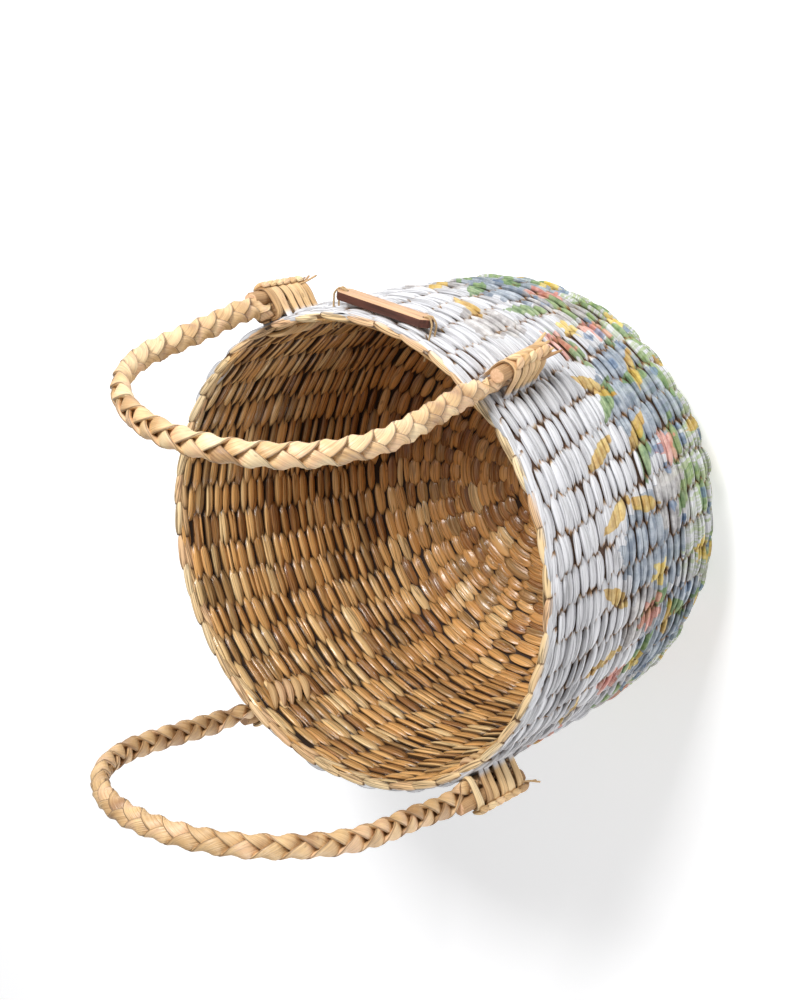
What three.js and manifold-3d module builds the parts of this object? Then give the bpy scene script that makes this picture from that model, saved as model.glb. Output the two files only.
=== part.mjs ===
// A round seagrass basket with two standing braided handles and a bare wooden tag.
// Millimetres, +Z up. The origin is the middle of the underside of the base, and -Y is the front,
// where the tag is.
import * as THREE from "three";
import { mergeVertices } from "three/addons/utils/BufferGeometryUtils.js";
import Module from "manifold-3d";

// The basket
const RIM_RADIUS = 150; // outside of the mouth
const BASKET_HEIGHT = 223; // underside of the base to the top of the rim
const WALL_TAPER = 3; // how much narrower the wall is at its foot
const WALL_BULGE = 2; // how far the wall swells halfway up
const FOOT_ROUND = 60; // outside radius where the wall turns into the base
const WEAVE = 8; // thickness of the woven wall and base
const RIM_BORDER = 7; // height of the border that closes the weave

// The stakes, which the strands are woven over and under
const STAKES = 45;
const STAKE_WIDTH = 4;
const STAKE_THICK = 2.4;
const STAKE_LEAN = 1; // how far round the basket a stake leans on its way down the wall, in stakes
const CROSSING_RADIUS = 60; // inside this the stakes lie side by side across the base

// The relief of the weave, which stands out over the stakes and dips between them
const WALL_DIP = 2.6; // depth of the dips in both faces of the wall
const BASE_DIP = 1.6; // depth of the dips in both faces of the base
const BASE_RIBS = 23; // the base has fewer ridges, because its stakes lie closer
const BASE_EYE = 12; // radius of the middle of the base, where its ridges start
const BASE_FOOT = 36; // radius of the flat middle of the underside

// The handles
const BRAID = 14; // diameter of the plaited braid
const LOOP_RISE = 155; // from the bend of the handle to the middle of its braid at the top
const LEAN = 6; // degrees that both handles lean towards each other
const FRONT_SWAY = -7; // how far the front loop is pushed to the right of its ends
const BACK_SWAY = 1;

// The handles' ends: the stake that each lies on, counted from the front, how far
// its reed stands above the rim, and how far below the rim its lashing starts
const ENDS = {
  front_left: { stake: -4, stand: -7, bound: 20 },
  front_right: { stake: 4, stand: 11, bound: 10 },
  back_right: { stake: 19, stand: -7, bound: 20 },
  back_left: { stake: 28, stand: 11, bound: 10 },
};

// What holds a handle's end on the wall
const TAIL_WIDTH = 11; // the braid's end, pressed flat by the lashing
const TAIL_THICK = 8;
const TAIL_SHORT = 3; // how far above the reed's lower end it stops
const PEG = 9; // diameter of the cut reed bound over the tail
const PEG_LENGTH = 54;
const STRAND = 3; // diameter of the lashing strand
const LASHING_TURNS = 5;
const LASHING_LENGTH = 28;

// The tag
const TAG_LENGTH = 70;
const TAG_WIDTH = 13;
const TAG_THICK = 5;
const TAG_CLIP = 4; // cut off each corner
const TAG_DROP = 8; // from the rim to the tag's upper edge
const TAG_SHIFT = 4; // how far right of the front its middle is
const TAG_HOLE = 3;
const TAG_HOLE_INSET = 5;
const TWINE = 1.2;

// Clearances
const GAP = 0.3; // between pieces that touch
const EASE = 0.6; // round a strand, in the gaps that it passes through

// How finely curves are stepped
const FOOT_STEPS = 4;
const WALL_STEPS = 2;
const BRAID_SIDES = 8;
const ARCH_STEPS = 30;
const STRAND_SIDES = 5;
const STEPS_PER_TURN = 16;
const TWINE_STEPS = 28;

const SEAGRASS = { color: 0xb98a52, roughness: 0.75, metalness: 0 };
const PALE_BRAID = { color: 0xd2b07a, roughness: 0.7, metalness: 0 };
const PAINTED = { color: 0xe6e6ea, roughness: 0.6, metalness: 0 };
const REED = { color: 0xd9a877, roughness: 0.8, metalness: 0 };
const OAK = { color: 0xc79a6c, roughness: 0.55, metalness: 0 };
const JUTE = { color: 0xd6b98a, roughness: 0.85, metalness: 0 };

const wasm = await Module();
wasm.setup();

const PITCH = (2 * Math.PI) / STAKES;
const BASE_FLAT = RIM_RADIUS - WALL_TAPER - FOOT_ROUND;
const WALL_TOP = BASKET_HEIGHT - RIM_BORDER - GAP;

// A closed geometry as a solid that can be joined and cut
function toSolid(geometry) {
  const bare = new THREE.BufferGeometry();
  bare.setAttribute("position", geometry.getAttribute("position"));
  bare.setIndex(geometry.index);
  const merged = mergeVertices(bare);
  return new wasm.Manifold(
    new wasm.Mesh({
      numProp: 3,
      vertProperties: merged.getAttribute("position").array,
      triVerts: new Uint32Array(merged.index.array),
    }),
  );
}

function toGeometry(solid) {
  const { vertProperties, triVerts } = solid.getMesh();
  const geometry = new THREE.BufferGeometry();
  geometry.setAttribute("position", new THREE.BufferAttribute(vertProperties, 3));
  geometry.setIndex(new THREE.BufferAttribute(triVerts, 1));
  geometry.computeVertexNormals();
  return geometry;
}

function piece(name, geometry, finish) {
  const mesh = new THREE.Mesh(geometry, new THREE.MeshStandardMaterial(finish));
  mesh.name = name;
  return mesh;
}

// A point round the basket: the angle in stakes from the front, the distance from the axis and the height
function around(stake, radius, height) {
  const angle = stake * PITCH;
  return new THREE.Vector3(radius * Math.sin(angle), -radius * Math.cos(angle), height);
}

// A closed profile of radius and height, turned about the basket's axis with a corner at each stake
function turnedProfile(points) {
  const geometry = new THREE.LatheGeometry(points, STAKES);
  return geometry.rotateX(Math.PI / 2);
}

// Turned in the same way, but with one profile on the ridges and another in the dips between them
function ribbedProfile(ridge, dip, ribs) {
  const geometry = new THREE.LatheGeometry(ridge, 2 * ribs);
  const position = geometry.getAttribute("position");
  for (let i = 1; i < 2 * ribs; i += 2) {
    const angle = (i * Math.PI) / ribs;
    dip.forEach(({ x, y }, j) => {
      position.setXYZ(i * dip.length + j, x * Math.sin(angle), y, x * Math.cos(angle));
    });
  }
  return geometry.rotateX(Math.PI / 2);
}

// Turns each level of an upright geometry as far as the stakes lean there
function leaned(geometry) {
  const axis = new THREE.Vector3(0, 0, 1);
  const position = geometry.getAttribute("position");
  const point = new THREE.Vector3();
  for (let i = 0; i < position.count; i++) {
    point.fromBufferAttribute(position, i);
    const down = Math.min((BASKET_HEIGHT - point.z) / (BASKET_HEIGHT - FOOT_ROUND), 1);
    point.applyAxisAngle(axis, STAKE_LEAN * PITCH * down);
    position.setXYZ(i, point.x, point.y, point.z);
  }
  return geometry;
}

function polygon(sides, radius) {
  const corners = [];
  for (let i = 0; i < sides; i++) {
    const angle = (2 * Math.PI * i) / sides;
    corners.push(new THREE.Vector2(radius * Math.cos(angle), radius * Math.sin(angle)));
  }
  return new THREE.Shape(corners);
}

function tube(curve, steps, sides, diameter) {
  const section = polygon(sides, diameter / 2);
  return new THREE.ExtrudeGeometry(section, { steps, extrudePath: curve, bevelEnabled: false });
}

function block(width, depth, height, centre) {
  return new THREE.BoxGeometry(width, depth, height).translate(centre.x, centre.y, centre.z);
}

// Outside radius of the wall at a height above the rounded foot
function wallRadius(height) {
  const up = (height - FOOT_ROUND) / (BASKET_HEIGHT - FOOT_ROUND);
  return RIM_RADIUS - WALL_TAPER * (1 - up) + WALL_BULGE * 4 * up * (1 - up);
}

// Radius and height along the weave at a depth below its outer face, from the edge of the base to the top
function weaveLine(depth) {
  const points = [];
  for (let i = 0; i <= FOOT_STEPS; i++) {
    const angle = ((i / FOOT_STEPS - 1) * Math.PI) / 2;
    const reach = FOOT_ROUND - depth;
    points.push(new THREE.Vector2(BASE_FLAT + reach * Math.cos(angle), FOOT_ROUND + reach * Math.sin(angle)));
  }
  for (let i = 1; i <= WALL_STEPS; i++) {
    const height = FOOT_ROUND + ((WALL_TOP - FOOT_ROUND) * i) / WALL_STEPS;
    points.push(new THREE.Vector2(wallRadius(height) - depth, height));
  }
  return points;
}

// One stake lying at the front: from the crossing under the base, round the foot and up the wall
function stake(grow) {
  const half = STAKE_THICK / 2 + grow;
  const start = CROSSING_RADIUS - STAKE_WIDTH;
  const faces = [WEAVE / 2 - half, WEAVE / 2 + half].map((depth) => {
    return [new THREE.Vector2(start, depth), ...weaveLine(depth)];
  });
  const steps = faces[0].length - 1;
  const geometry = new THREE.BoxGeometry(STAKE_WIDTH + 2 * grow, 2, steps, 1, 1, steps);
  const position = geometry.getAttribute("position");
  for (let i = 0; i < position.count; i++) {
    const face = position.getY(i) > 0 ? faces[1] : faces[0];
    const along = face[Math.round(position.getZ(i) + steps / 2)];
    position.setXYZ(i, position.getX(i), -along.x, along.y);
  }
  return geometry;
}

// All the stakes, joined where they cross under the middle of the base
function stakeFrame(grow) {
  const height = STAKE_THICK + 2 * grow;
  const crossing = new THREE.CylinderGeometry(CROSSING_RADIUS + grow, CROSSING_RADIUS + grow, height, STAKES);
  crossing.rotateX(Math.PI / 2);
  crossing.translate(0, 0, WEAVE / 2);
  const solids = [toSolid(leaned(crossing))];
  for (let i = 0; i < STAKES; i++) {
    solids.push(toSolid(leaned(stake(grow).rotateZ(i * PITCH))));
  }
  return wasm.Manifold.union(solids);
}

// Where a handle's end sits: heights from the rim, and radii from the axis that are the same at every end
const tailFoot = (end) => end.stand - PEG_LENGTH + TAIL_SHORT;
const lashingLow = (end) => -end.bound - LASHING_LENGTH;
const BENT_ENDS = Object.values(ENDS);
const BESIDE_TAILS = [0, ...BENT_ENDS.map(tailFoot)];
const SEAT = Math.max(...BESIDE_TAILS.map((rise) => wallRadius(BASKET_HEIGHT + rise))) + GAP;
const TAIL_RADIUS = SEAT + TAIL_THICK / 2;
const PEG_RADIUS = SEAT + TAIL_THICK + GAP + PEG / 2;
const INNER_FACE = wallRadius(BASKET_HEIGHT) - WEAVE;
const LASHING_SIDE = RIM_RADIUS * Math.sin(PITCH / 2); // the strand goes through halfway to the next stakes
const TAIL_TOP = Math.max(...BENT_ENDS.map((end) => end.stand));
const BEND_RISE = TAIL_TOP + EASE + BRAID / 2;
const BEND_RADIUS = SEAT + BRAID / 2 + EASE;
const END_LEAN = Math.atan((STAKE_LEAN * PITCH * RIM_RADIUS) / (BASKET_HEIGHT - FOOT_ROUND));

// The group of a handle's end: its own -Y side faces out at its stake, and it leans as the stakes do
function endGroup(end) {
  const group = new THREE.Group();
  group.position.z = BASKET_HEIGHT;
  group.rotation.set(0, -END_LEAN, end.stake * PITCH, "ZYX");
  group.updateMatrix();
  return group;
}

// Gaps parted in the weave beside a tail, where the lashing passes through the wall
function lashingGaps(end) {
  const width = STRAND + 2 * EASE;
  const height = LASHING_LENGTH + STRAND + 2 * EASE;
  const middle = lashingLow(end) + LASHING_LENGTH / 2;
  return [-1, 1].map((side) => {
    const centre = new THREE.Vector3(side * LASHING_SIDE, -(INNER_FACE + WEAVE / 2), middle);
    return toSolid(block(width, 3 * WEAVE, height, centre).applyMatrix4(endGroup(end).matrix));
  });
}

// The tag's ties pass through the wall in the gaps between stakes that are nearest to the tag's ends
const TAG_MIDDLE = BASKET_HEIGHT - TAG_DROP - TAG_WIDTH / 2;
const TAG_BACK = wallRadius(BASKET_HEIGHT - TAG_DROP - TAG_WIDTH) + GAP;
const TIE_SPREAD = 1.5 * TWINE; // between the two passes of a tie, above and below the tag's middle

function tieStake(side) {
  const end = Math.asin((TAG_LENGTH / 2 + side * TAG_SHIFT) / TAG_BACK) / PITCH;
  return side * (Math.round(end - 0.5) + 0.5);
}

function tieGap(side) {
  const width = TWINE + 2 * EASE;
  const height = 2 * TIE_SPREAD + TWINE + 2 * EASE;
  const centre = new THREE.Vector3(0, -(wallRadius(TAG_MIDDLE) - WEAVE / 2), TAG_MIDDLE);
  return toSolid(block(width, 3 * WEAVE, height, centre).rotateZ(tieStake(side) * PITCH));
}

// The wall's closed profile, drawn in on both faces, but not where it meets the base
function wallProfile(dip) {
  const outer = weaveLine(dip);
  const inner = weaveLine(WEAVE - dip);
  outer[0].y = 0;
  inner[0].y = WEAVE;
  return [...outer, ...inner.reverse(), outer[0].clone()];
}

function wallWeave() {
  const weave = leaned(ribbedProfile(wallProfile(0), wallProfile(WALL_DIP), STAKES));
  const cuts = [stakeFrame(GAP), tieGap(-1), tieGap(1)];
  for (const end of BENT_ENDS) {
    cuts.push(...lashingGaps(end));
  }
  return toGeometry(toSolid(weave).subtract(wasm.Manifold.union(cuts)));
}

function baseProfile(dip) {
  const radius = BASE_FLAT - GAP;
  const points = [
    [0, 0],
    [BASE_FOOT, 0],
    [radius - WEAVE, dip],
    [radius, 0],
    [radius, WEAVE],
    [radius - WEAVE, WEAVE - dip],
    [BASE_EYE, WEAVE - dip],
    [0, WEAVE],
  ];
  return points.map(([along, height]) => new THREE.Vector2(along, height));
}

function baseWeave() {
  const weave = leaned(ribbedProfile(baseProfile(0), baseProfile(BASE_DIP), BASE_RIBS));
  return toGeometry(toSolid(weave).subtract(stakeFrame(GAP)));
}

// The border's section is eased at its two top edges
function rimBorder() {
  const inside = RIM_RADIUS - WEAVE;
  const low = BASKET_HEIGHT - RIM_BORDER;
  const eased = Math.min(WEAVE, RIM_BORDER) / 4;
  const profile = [
    [inside, low],
    [RIM_RADIUS, low],
    [RIM_RADIUS, BASKET_HEIGHT - eased],
    [RIM_RADIUS - eased, BASKET_HEIGHT],
    [inside + eased, BASKET_HEIGHT],
    [inside, BASKET_HEIGHT - eased],
    [inside, low],
  ];
  return turnedProfile(profile.map(([radius, height]) => new THREE.Vector2(radius, height)));
}

// A handle's loop in its own plane: two legs and a half circle over them, which sways to one side
class Arch extends THREE.Curve {
  constructor(left, right, lean, sway) {
    super();
    this.sway = sway;
    this.middle = left.clone().add(right).multiplyScalar(0.5);
    this.across = right.clone().sub(this.middle);
    this.half = this.across.length();
    this.across.normalize();
    const inward = this.middle.clone().setZ(0).normalize().negate();
    const up = new THREE.Vector3(0, 0, 1);
    this.rise = up.multiplyScalar(Math.cos(lean)).addScaledVector(inward, Math.sin(lean));
    this.leg = LOOP_RISE - this.half;
  }

  getPoint(t, target = new THREE.Vector3()) {
    const total = 2 * this.leg + Math.PI * this.half;
    const along = t * total;
    let u = Math.sign(t - 0.5) * this.half;
    let v = Math.min(along, total - along);
    if (v > this.leg) {
      const angle = (along - this.leg) / this.half;
      u = -this.half * Math.cos(angle);
      v = this.leg + this.half * Math.sin(angle);
    }
    u += this.sway * THREE.MathUtils.smoothstep(v, 0, this.leg);
    return target.copy(this.middle).addScaledVector(this.across, u).addScaledVector(this.rise, v);
  }
}

// The braid from bend to bend, rounded at both bends so that it can turn there
function handleLoop(left, right, sway) {
  const bend = (end) => new THREE.Vector3(0, -BEND_RADIUS, BEND_RISE).applyMatrix4(endGroup(end).matrix);
  const bends = [left, right].map(bend);
  const arch = new Arch(...bends, THREE.MathUtils.degToRad(LEAN), sway);
  let solid = toSolid(tube(arch, ARCH_STEPS, BRAID_SIDES, BRAID));
  for (const { x, y, z } of bends) {
    const ball = new THREE.SphereGeometry(BRAID / 2, BRAID_SIDES, BRAID_SIDES / 2);
    solid = solid.add(toSolid(ball.translate(x, y, z)));
  }
  return toGeometry(solid);
}

function tail(end) {
  const section = new THREE.Shape();
  section.absellipse(0, -TAIL_RADIUS, TAIL_WIDTH / 2, TAIL_THICK / 2, 0, 2 * Math.PI);
  const depth = TAIL_TOP - tailFoot(end);
  const geometry = new THREE.ExtrudeGeometry(section, { depth, curveSegments: 6, bevelEnabled: false });
  return geometry.translate(0, 0, tailFoot(end));
}

function peg(end) {
  const geometry = new THREE.CylinderGeometry(PEG / 2, PEG / 2, PEG_LENGTH, BRAID_SIDES);
  geometry.rotateX(Math.PI / 2);
  return geometry.translate(0, -PEG_RADIUS, end.stand - PEG_LENGTH / 2);
}

// The lashing's path: over the peg and the tail, through the wall beside them and along its inside
function lashingPath(end) {
  const inside = INNER_FACE - STRAND;
  const over = PEG / 2 + EASE + STRAND / 2;
  const slope = over * Math.SQRT1_2;
  const side = [
    [LASHING_SIDE / 2, inside],
    [LASHING_SIDE, INNER_FACE],
    [LASHING_SIDE, INNER_FACE + WEAVE / 2],
    [LASHING_SIDE, SEAT],
    [over, PEG_RADIUS],
    [slope, PEG_RADIUS + slope],
  ];
  const otherSide = side.map(([across, radius]) => [-across, radius]).reverse();
  const turn = [...side, [0, PEG_RADIUS + over], ...otherSide];
  const points = [];
  for (let i = 0; i < turn.length * LASHING_TURNS; i++) {
    const [across, radius] = turn[i % turn.length];
    const height = lashingLow(end) + (LASHING_LENGTH * i) / (turn.length * LASHING_TURNS - 1);
    points.push(new THREE.Vector3(across, -radius, height));
  }
  return new THREE.CatmullRomCurve3(points);
}

// The smallest gap between a winding's turns, measured on points along its path
function leastGap(curve, turns, diameter) {
  const points = curve.getSpacedPoints(turns * STEPS_PER_TURN * 2);
  let least = Infinity;
  for (let i = 0; i < points.length; i++) {
    for (let j = i + STEPS_PER_TURN; j < points.length; j++) {
      least = Math.min(least, points[i].distanceTo(points[j]) - diameter);
    }
  }
  return least;
}

function tagPlate() {
  const half = TAG_LENGTH / 2;
  const edge = TAG_WIDTH / 2;
  const face = new THREE.Shape([
    new THREE.Vector2(TAG_CLIP - half, -edge),
    new THREE.Vector2(half - TAG_CLIP, -edge),
    new THREE.Vector2(half, TAG_CLIP - edge),
    new THREE.Vector2(half, edge - TAG_CLIP),
    new THREE.Vector2(half - TAG_CLIP, edge),
    new THREE.Vector2(TAG_CLIP - half, edge),
    new THREE.Vector2(-half, edge - TAG_CLIP),
    new THREE.Vector2(-half, TAG_CLIP - edge),
  ]);
  for (const side of [-1, 1]) {
    const hole = new THREE.Path();
    hole.absarc(side * (half - TAG_HOLE_INSET), 0, TAG_HOLE / 2, 0, 2 * Math.PI);
    face.holes.push(hole);
  }
  const options = { depth: TAG_THICK, curveSegments: 5, bevelEnabled: false };
  const geometry = new THREE.ExtrudeGeometry(face, options);
  geometry.rotateX(Math.PI / 2);
  return geometry.translate(TAG_SHIFT, -TAG_BACK, TAG_MIDDLE);
}

// Twine that goes through the tag's hole and round its end, with both ends through the wall
function tagTie(side) {
  const hole = TAG_LENGTH / 2 - TAG_HOLE_INSET;
  const past = TAG_LENGTH / 2 + GAP + TWINE;
  const behind = TAG_BACK - TWINE;
  const face = TAG_BACK + TAG_THICK;
  const outside = wallRadius(TAG_MIDDLE);
  const radii = [outside - WEAVE - 2 * TWINE, outside - WEAVE / 2, outside + TWINE / 2];
  const pass = (rise) => radii.map((radius) => around(tieStake(side), radius, TAG_MIDDLE + rise));
  const beside = (reach, out, rise) => {
    return new THREE.Vector3(TAG_SHIFT + side * reach, -out, TAG_MIDDLE + rise);
  };
  const points = [
    ...pass(-TIE_SPREAD),
    beside(hole + TWINE, behind, -TWINE / 2),
    beside(hole, TAG_BACK + TAG_THICK / 4, 0),
    beside(hole, face - TAG_THICK / 4, 0),
    beside(hole + TWINE, face + TWINE, TWINE / 2),
    beside(TAG_LENGTH / 2, face + TWINE, TWINE),
    beside(past, TAG_BACK + TAG_THICK / 2, TIE_SPREAD),
    beside(past, behind, TIE_SPREAD),
    ...pass(TIE_SPREAD).reverse(),
  ];
  return tube(new THREE.CatmullRomCurve3(points), TWINE_STEPS, STRAND_SIDES, TWINE);
}

// One end of a handle: its tail, the reed over it and the lashing round both
function handleEnd(name) {
  const end = ENDS[name];
  const group = endGroup(end);
  const path = lashingPath(end);
  const winding = tube(path, LASHING_TURNS * STEPS_PER_TURN, STRAND_SIDES, STRAND);
  group.add(
    piece(`${name}_tail`, tail(end), PALE_BRAID),
    piece(`${name}_peg`, peg(end), REED),
    piece(`${name}_lashing`, winding, PALE_BRAID),
  );
  const gap = leastGap(path, LASHING_TURNS, STRAND);
  console.log(`${name}_lashing: least gap between turns ${gap.toFixed(2)} mm`);
  return group;
}

const basket = new THREE.Group();
basket.add(
  piece("base_weave", baseWeave(), SEAGRASS),
  piece("wall_weave", wallWeave(), PAINTED),
  piece("stake_frame", toGeometry(stakeFrame(0)), SEAGRASS),
  piece("rim_border", rimBorder(), SEAGRASS),
  piece("tag_plate", tagPlate(), OAK),
  piece("tag_tie_left", tagTie(-1), JUTE),
  piece("tag_tie_right", tagTie(1), JUTE),
  ...Object.keys(ENDS).map(handleEnd),
);

const frontLoop = handleLoop(ENDS.front_left, ENDS.front_right, FRONT_SWAY);
const frontHandle = new THREE.Group();
frontHandle.add(piece("front_handle", frontLoop, PALE_BRAID));

const backLoop = handleLoop(ENDS.back_right, ENDS.back_left, BACK_SWAY);
const backHandle = new THREE.Group();
backHandle.add(piece("back_handle", backLoop, PALE_BRAID));

const part = new THREE.Group();
part.add(basket, frontHandle, backHandle);

export default part;
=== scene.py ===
"""Looks of a round seagrass basket: its weave, rim, braided handles, lashings and wooden tag.

Metres, +Z up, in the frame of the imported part: the origin is the middle of the underside of the
base, and -Y is the front, where the tag is.
"""

import logging
import math
from dataclasses import dataclass, field
from enum import Enum
from itertools import product
from typing import Any, Callable, Sequence

import bpy
import numpy as np
from mathutils import Matrix, Vector


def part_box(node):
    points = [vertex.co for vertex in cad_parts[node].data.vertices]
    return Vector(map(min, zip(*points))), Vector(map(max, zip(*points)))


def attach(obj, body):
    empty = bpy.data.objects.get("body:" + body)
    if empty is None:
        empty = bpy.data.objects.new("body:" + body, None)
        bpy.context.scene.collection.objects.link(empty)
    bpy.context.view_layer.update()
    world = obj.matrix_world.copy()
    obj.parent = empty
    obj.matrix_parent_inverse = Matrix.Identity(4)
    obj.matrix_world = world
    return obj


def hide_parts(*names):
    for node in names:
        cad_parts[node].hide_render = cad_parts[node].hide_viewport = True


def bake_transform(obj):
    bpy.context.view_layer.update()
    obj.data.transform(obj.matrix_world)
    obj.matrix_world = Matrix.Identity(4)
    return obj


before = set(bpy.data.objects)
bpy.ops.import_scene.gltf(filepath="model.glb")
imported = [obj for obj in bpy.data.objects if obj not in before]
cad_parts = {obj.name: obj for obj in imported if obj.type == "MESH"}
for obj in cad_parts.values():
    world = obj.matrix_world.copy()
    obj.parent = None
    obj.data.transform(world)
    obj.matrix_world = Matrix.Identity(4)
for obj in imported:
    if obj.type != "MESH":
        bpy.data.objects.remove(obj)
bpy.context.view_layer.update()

LOG = logging.getLogger("basket")
MM = 0.001
BODY = "basket"
CLEAR = 0.1 * MM  # how far the lowest strands stay above the floor
STRAND_STEP = 1.5 * MM  # between two points along a lashing's strand
SPAN_STEPS = 24  # between two points that a smooth path goes through
Array = np.ndarray
Colour = tuple[float, float, float]
Material = bpy.types.Material
Object = bpy.types.Object
Random = np.random.Generator
UP = np.array([0.0, 0.0, 1.0])


class Side(Enum):
    """The two faces of the weave."""

    INSIDE = -1
    OUTSIDE = 1


class Pick(Enum):
    """What an edit-mode selection is made of."""

    POINTS = "VERT"
    EDGES = "EDGE"
    FACES = "FACE"


@dataclass(frozen=True)
class BasketShape:
    """The surface that the strands are woven on, and the sizes that the pieces share."""

    rim_radius: float = 0.150
    height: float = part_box("rim_border")[1].z
    taper: float = 0.003
    bulge: float = 0.002
    foot_round: float = 0.060
    weave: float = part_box("base_weave")[1].z
    stakes: int = 45
    lean: float = 1.0

    @property
    def pitch(self) -> float:
        """The angle from one stake to the next."""
        return 2 * math.pi / self.stakes

    @property
    def end_lean(self) -> float:
        """How far the stakes, and the handles' ends with them, lean from upright at the rim."""
        return math.atan(self.lean * self.pitch * self.rim_radius / (self.height - self.foot_round))

    @property
    def flat(self) -> float:
        """Radius of the flat part of the base."""
        return self.rim_radius - self.taper - self.foot_round

    @property
    def foot_reach(self) -> float:
        """Radius of the rounded foot at the middle of the weave."""
        return self.foot_round - self.weave / 2

    @property
    def foot_top(self) -> float:
        """Length along the weave from the middle of the base to the top of the foot."""
        return self.flat + self.foot_reach * math.pi / 2

    def along_at(self, height: float) -> float:
        """Length along the weave at a height on the wall."""
        return self.foot_top + height - self.foot_round

    def place(self, angle: Array, along: Array, out: Array) -> Array:
        """Points on the weave, turned as far as the stakes lean there.

        Args:
            angle: round the rim from its front, in radians.
            along: length from the middle of the base, out and up the wall.
            out: distance outwards from the middle of the weave's thickness.

        Returns:
            The points, with a last axis of x, y and z.
        """
        turn = np.clip((along - self.flat) / self.foot_reach, 0, math.pi / 2)
        climb = np.maximum(along - self.foot_top, 0)
        up = climb / (self.height - self.foot_round)
        radius = np.minimum(along, self.flat) + self.foot_reach * np.sin(turn)
        radius = radius + self.taper * up + 4 * self.bulge * up * (1 - up)
        height = self.weave / 2 + self.foot_reach * (1 - np.cos(turn)) + climb
        radius = radius + out * np.sin(turn)
        height = height - out * np.cos(turn)
        angle = angle + self.lean * self.pitch * (1 - np.minimum(up, 1))
        return np.stack([radius * np.sin(angle), -radius * np.cos(angle), height + 0 * angle], -1)

    def beside(self, stake: float, across: Array, radius: Array, rise: Array) -> Array:
        """Points beside a stake at the rim, in a frame that is turned to it and leans as it does.

        Args:
            stake: which stake, counted from the front.
            across: distance to the right of it, seen from outside.
            radius: distance from the basket's axis.
            rise: along the stake, from the rim upwards.

        Returns:
            The points, with a last axis of x, y and z.
        """
        across, radius, rise = np.broadcast_arrays(across, radius, rise)
        side = across * math.cos(self.end_lean) - rise * math.sin(self.end_lean)
        height = self.height + across * math.sin(self.end_lean) + rise * math.cos(self.end_lean)
        angle = stake * self.pitch
        x = radius * math.sin(angle) + side * math.cos(angle)
        y = -radius * math.cos(angle) + side * math.sin(angle)
        return np.stack([x, y, height], -1)


@dataclass
class Shape:
    """A mesh before it is an object: points, faces and the faces' texture coordinates."""

    points: Array
    faces: list[tuple[int, ...]]
    uv: list[tuple[float, float]]

    def flipped(self) -> "Shape":
        """Turns the faces round.

        Returns:
            The same shape with every face turned.
        """
        uv: list[tuple[float, float]] = []
        start = 0
        for face in self.faces:
            uv += self.uv[start:start + len(face)][::-1]
            start += len(face)
        return Shape(self.points, [face[::-1] for face in self.faces], uv)

    def volume(self, points: Array) -> float:
        """Measures the shape on other points.

        Args:
            points: one for each of the shape's own.

        Returns:
            Six times the signed volume inside the faces.
        """
        total = 0.0
        for face in self.faces:
            a = points[face[0]]
            for b, c in zip(face[1:-1], face[2:]):
                total += float(np.dot(a, np.cross(points[b], points[c])))
        return total


class Heap:
    """Copies of shapes that go into one mesh, with what their finish reads at each point.

    A finish reads a strand's tone, its painted shade at the tips and edges, and where it is bare of
    paint.
    """

    TRAITS = ("tone", "tip", "bare")
    UV_STEP = np.array([37.3, 11.9])
    UV_LIMIT = 997

    def __init__(self, name: str) -> None:
        """Starts an empty heap.

        Args:
            name: the piece's name.
        """
        self.name = name
        self.count = 0
        self.copies = 0
        self.points: list[Array] = []
        self.corners: list[Array] = []
        self.sizes: list[Array] = []
        self.uv: list[Array] = []
        self.traits: dict[str, list[Array]] = {trait: [] for trait in self.TRAITS}

    def add(self, shape: Shape, points: Array, **traits: Array | float) -> None:
        """Adds copies of a shape, each with its own points.

        Args:
            shape: the faces of every copy.
            points: copies by points by 3.
            traits: for each trait a number, one for each copy, or one for each point of each copy.
        """
        size = len(shape.points)
        points = np.asarray(points, float).reshape(-1, size, 3)
        if shape.volume(points[0] - points[0].mean(0)) < 0:
            shape = shape.flipped()
        number = len(points)
        starts = self.count + size * np.arange(number)
        corners = np.array([corner for face in shape.faces for corner in face])
        self.corners.append((corners[None] + starts[:, None]).ravel())
        self.sizes.append(np.tile([len(face) for face in shape.faces], number))
        slide = (self.copies + np.arange(number))[:, None, None] * self.UV_STEP % self.UV_LIMIT
        self.uv.append((np.array(shape.uv)[None] + slide).reshape(-1, 2))
        self.points.append(points.reshape(-1, 3))
        for trait in self.TRAITS:
            value = np.asarray(traits.get(trait, 0.0), float)
            if value.ndim == 1:
                value = value[:, None]
            self.traits[trait].append(np.broadcast_to(value, (number, size)).ravel())
        self.count += number * size
        self.copies += number

    def add_one(self, shape: Shape, points: Array | None = None, **traits: Array | float) -> None:
        """Adds one copy, where it is or on other points, with traits all over or for each point."""
        points = shape.points if points is None else points
        self.add(shape, points[None], **{key: np.atleast_2d(each) for key, each in traits.items()})

    def build(self) -> Object:
        """Makes the object, smooth shaded, with its map and attributes.

        Returns:
            The object, in the scene.
        """
        mesh = bpy.data.meshes.new(self.name)
        corners = np.concatenate(self.corners)
        sizes = np.concatenate(self.sizes)
        mesh.vertices.add(self.count)
        mesh.vertices.foreach_set("co", np.concatenate(self.points).ravel())
        mesh.loops.add(len(corners))
        mesh.loops.foreach_set("vertex_index", corners)
        mesh.polygons.add(len(sizes))
        mesh.polygons.foreach_set("loop_start", np.concatenate([[0], np.cumsum(sizes)[:-1]]))
        mesh.polygons.foreach_set("use_smooth", np.ones(len(sizes), bool))
        mesh.update(calc_edges=True)
        layer = mesh.uv_layers.new(name="UVMap")
        layer.uv.foreach_set("vector", np.concatenate(self.uv).ravel())
        for trait, values in self.traits.items():
            made = mesh.attributes.new(trait, "FLOAT", "POINT")
            made.data.foreach_set("value", np.concatenate(values))
        obj = bpy.data.objects.new(self.name, mesh)
        bpy.context.scene.collection.objects.link(obj)
        return obj


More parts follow.
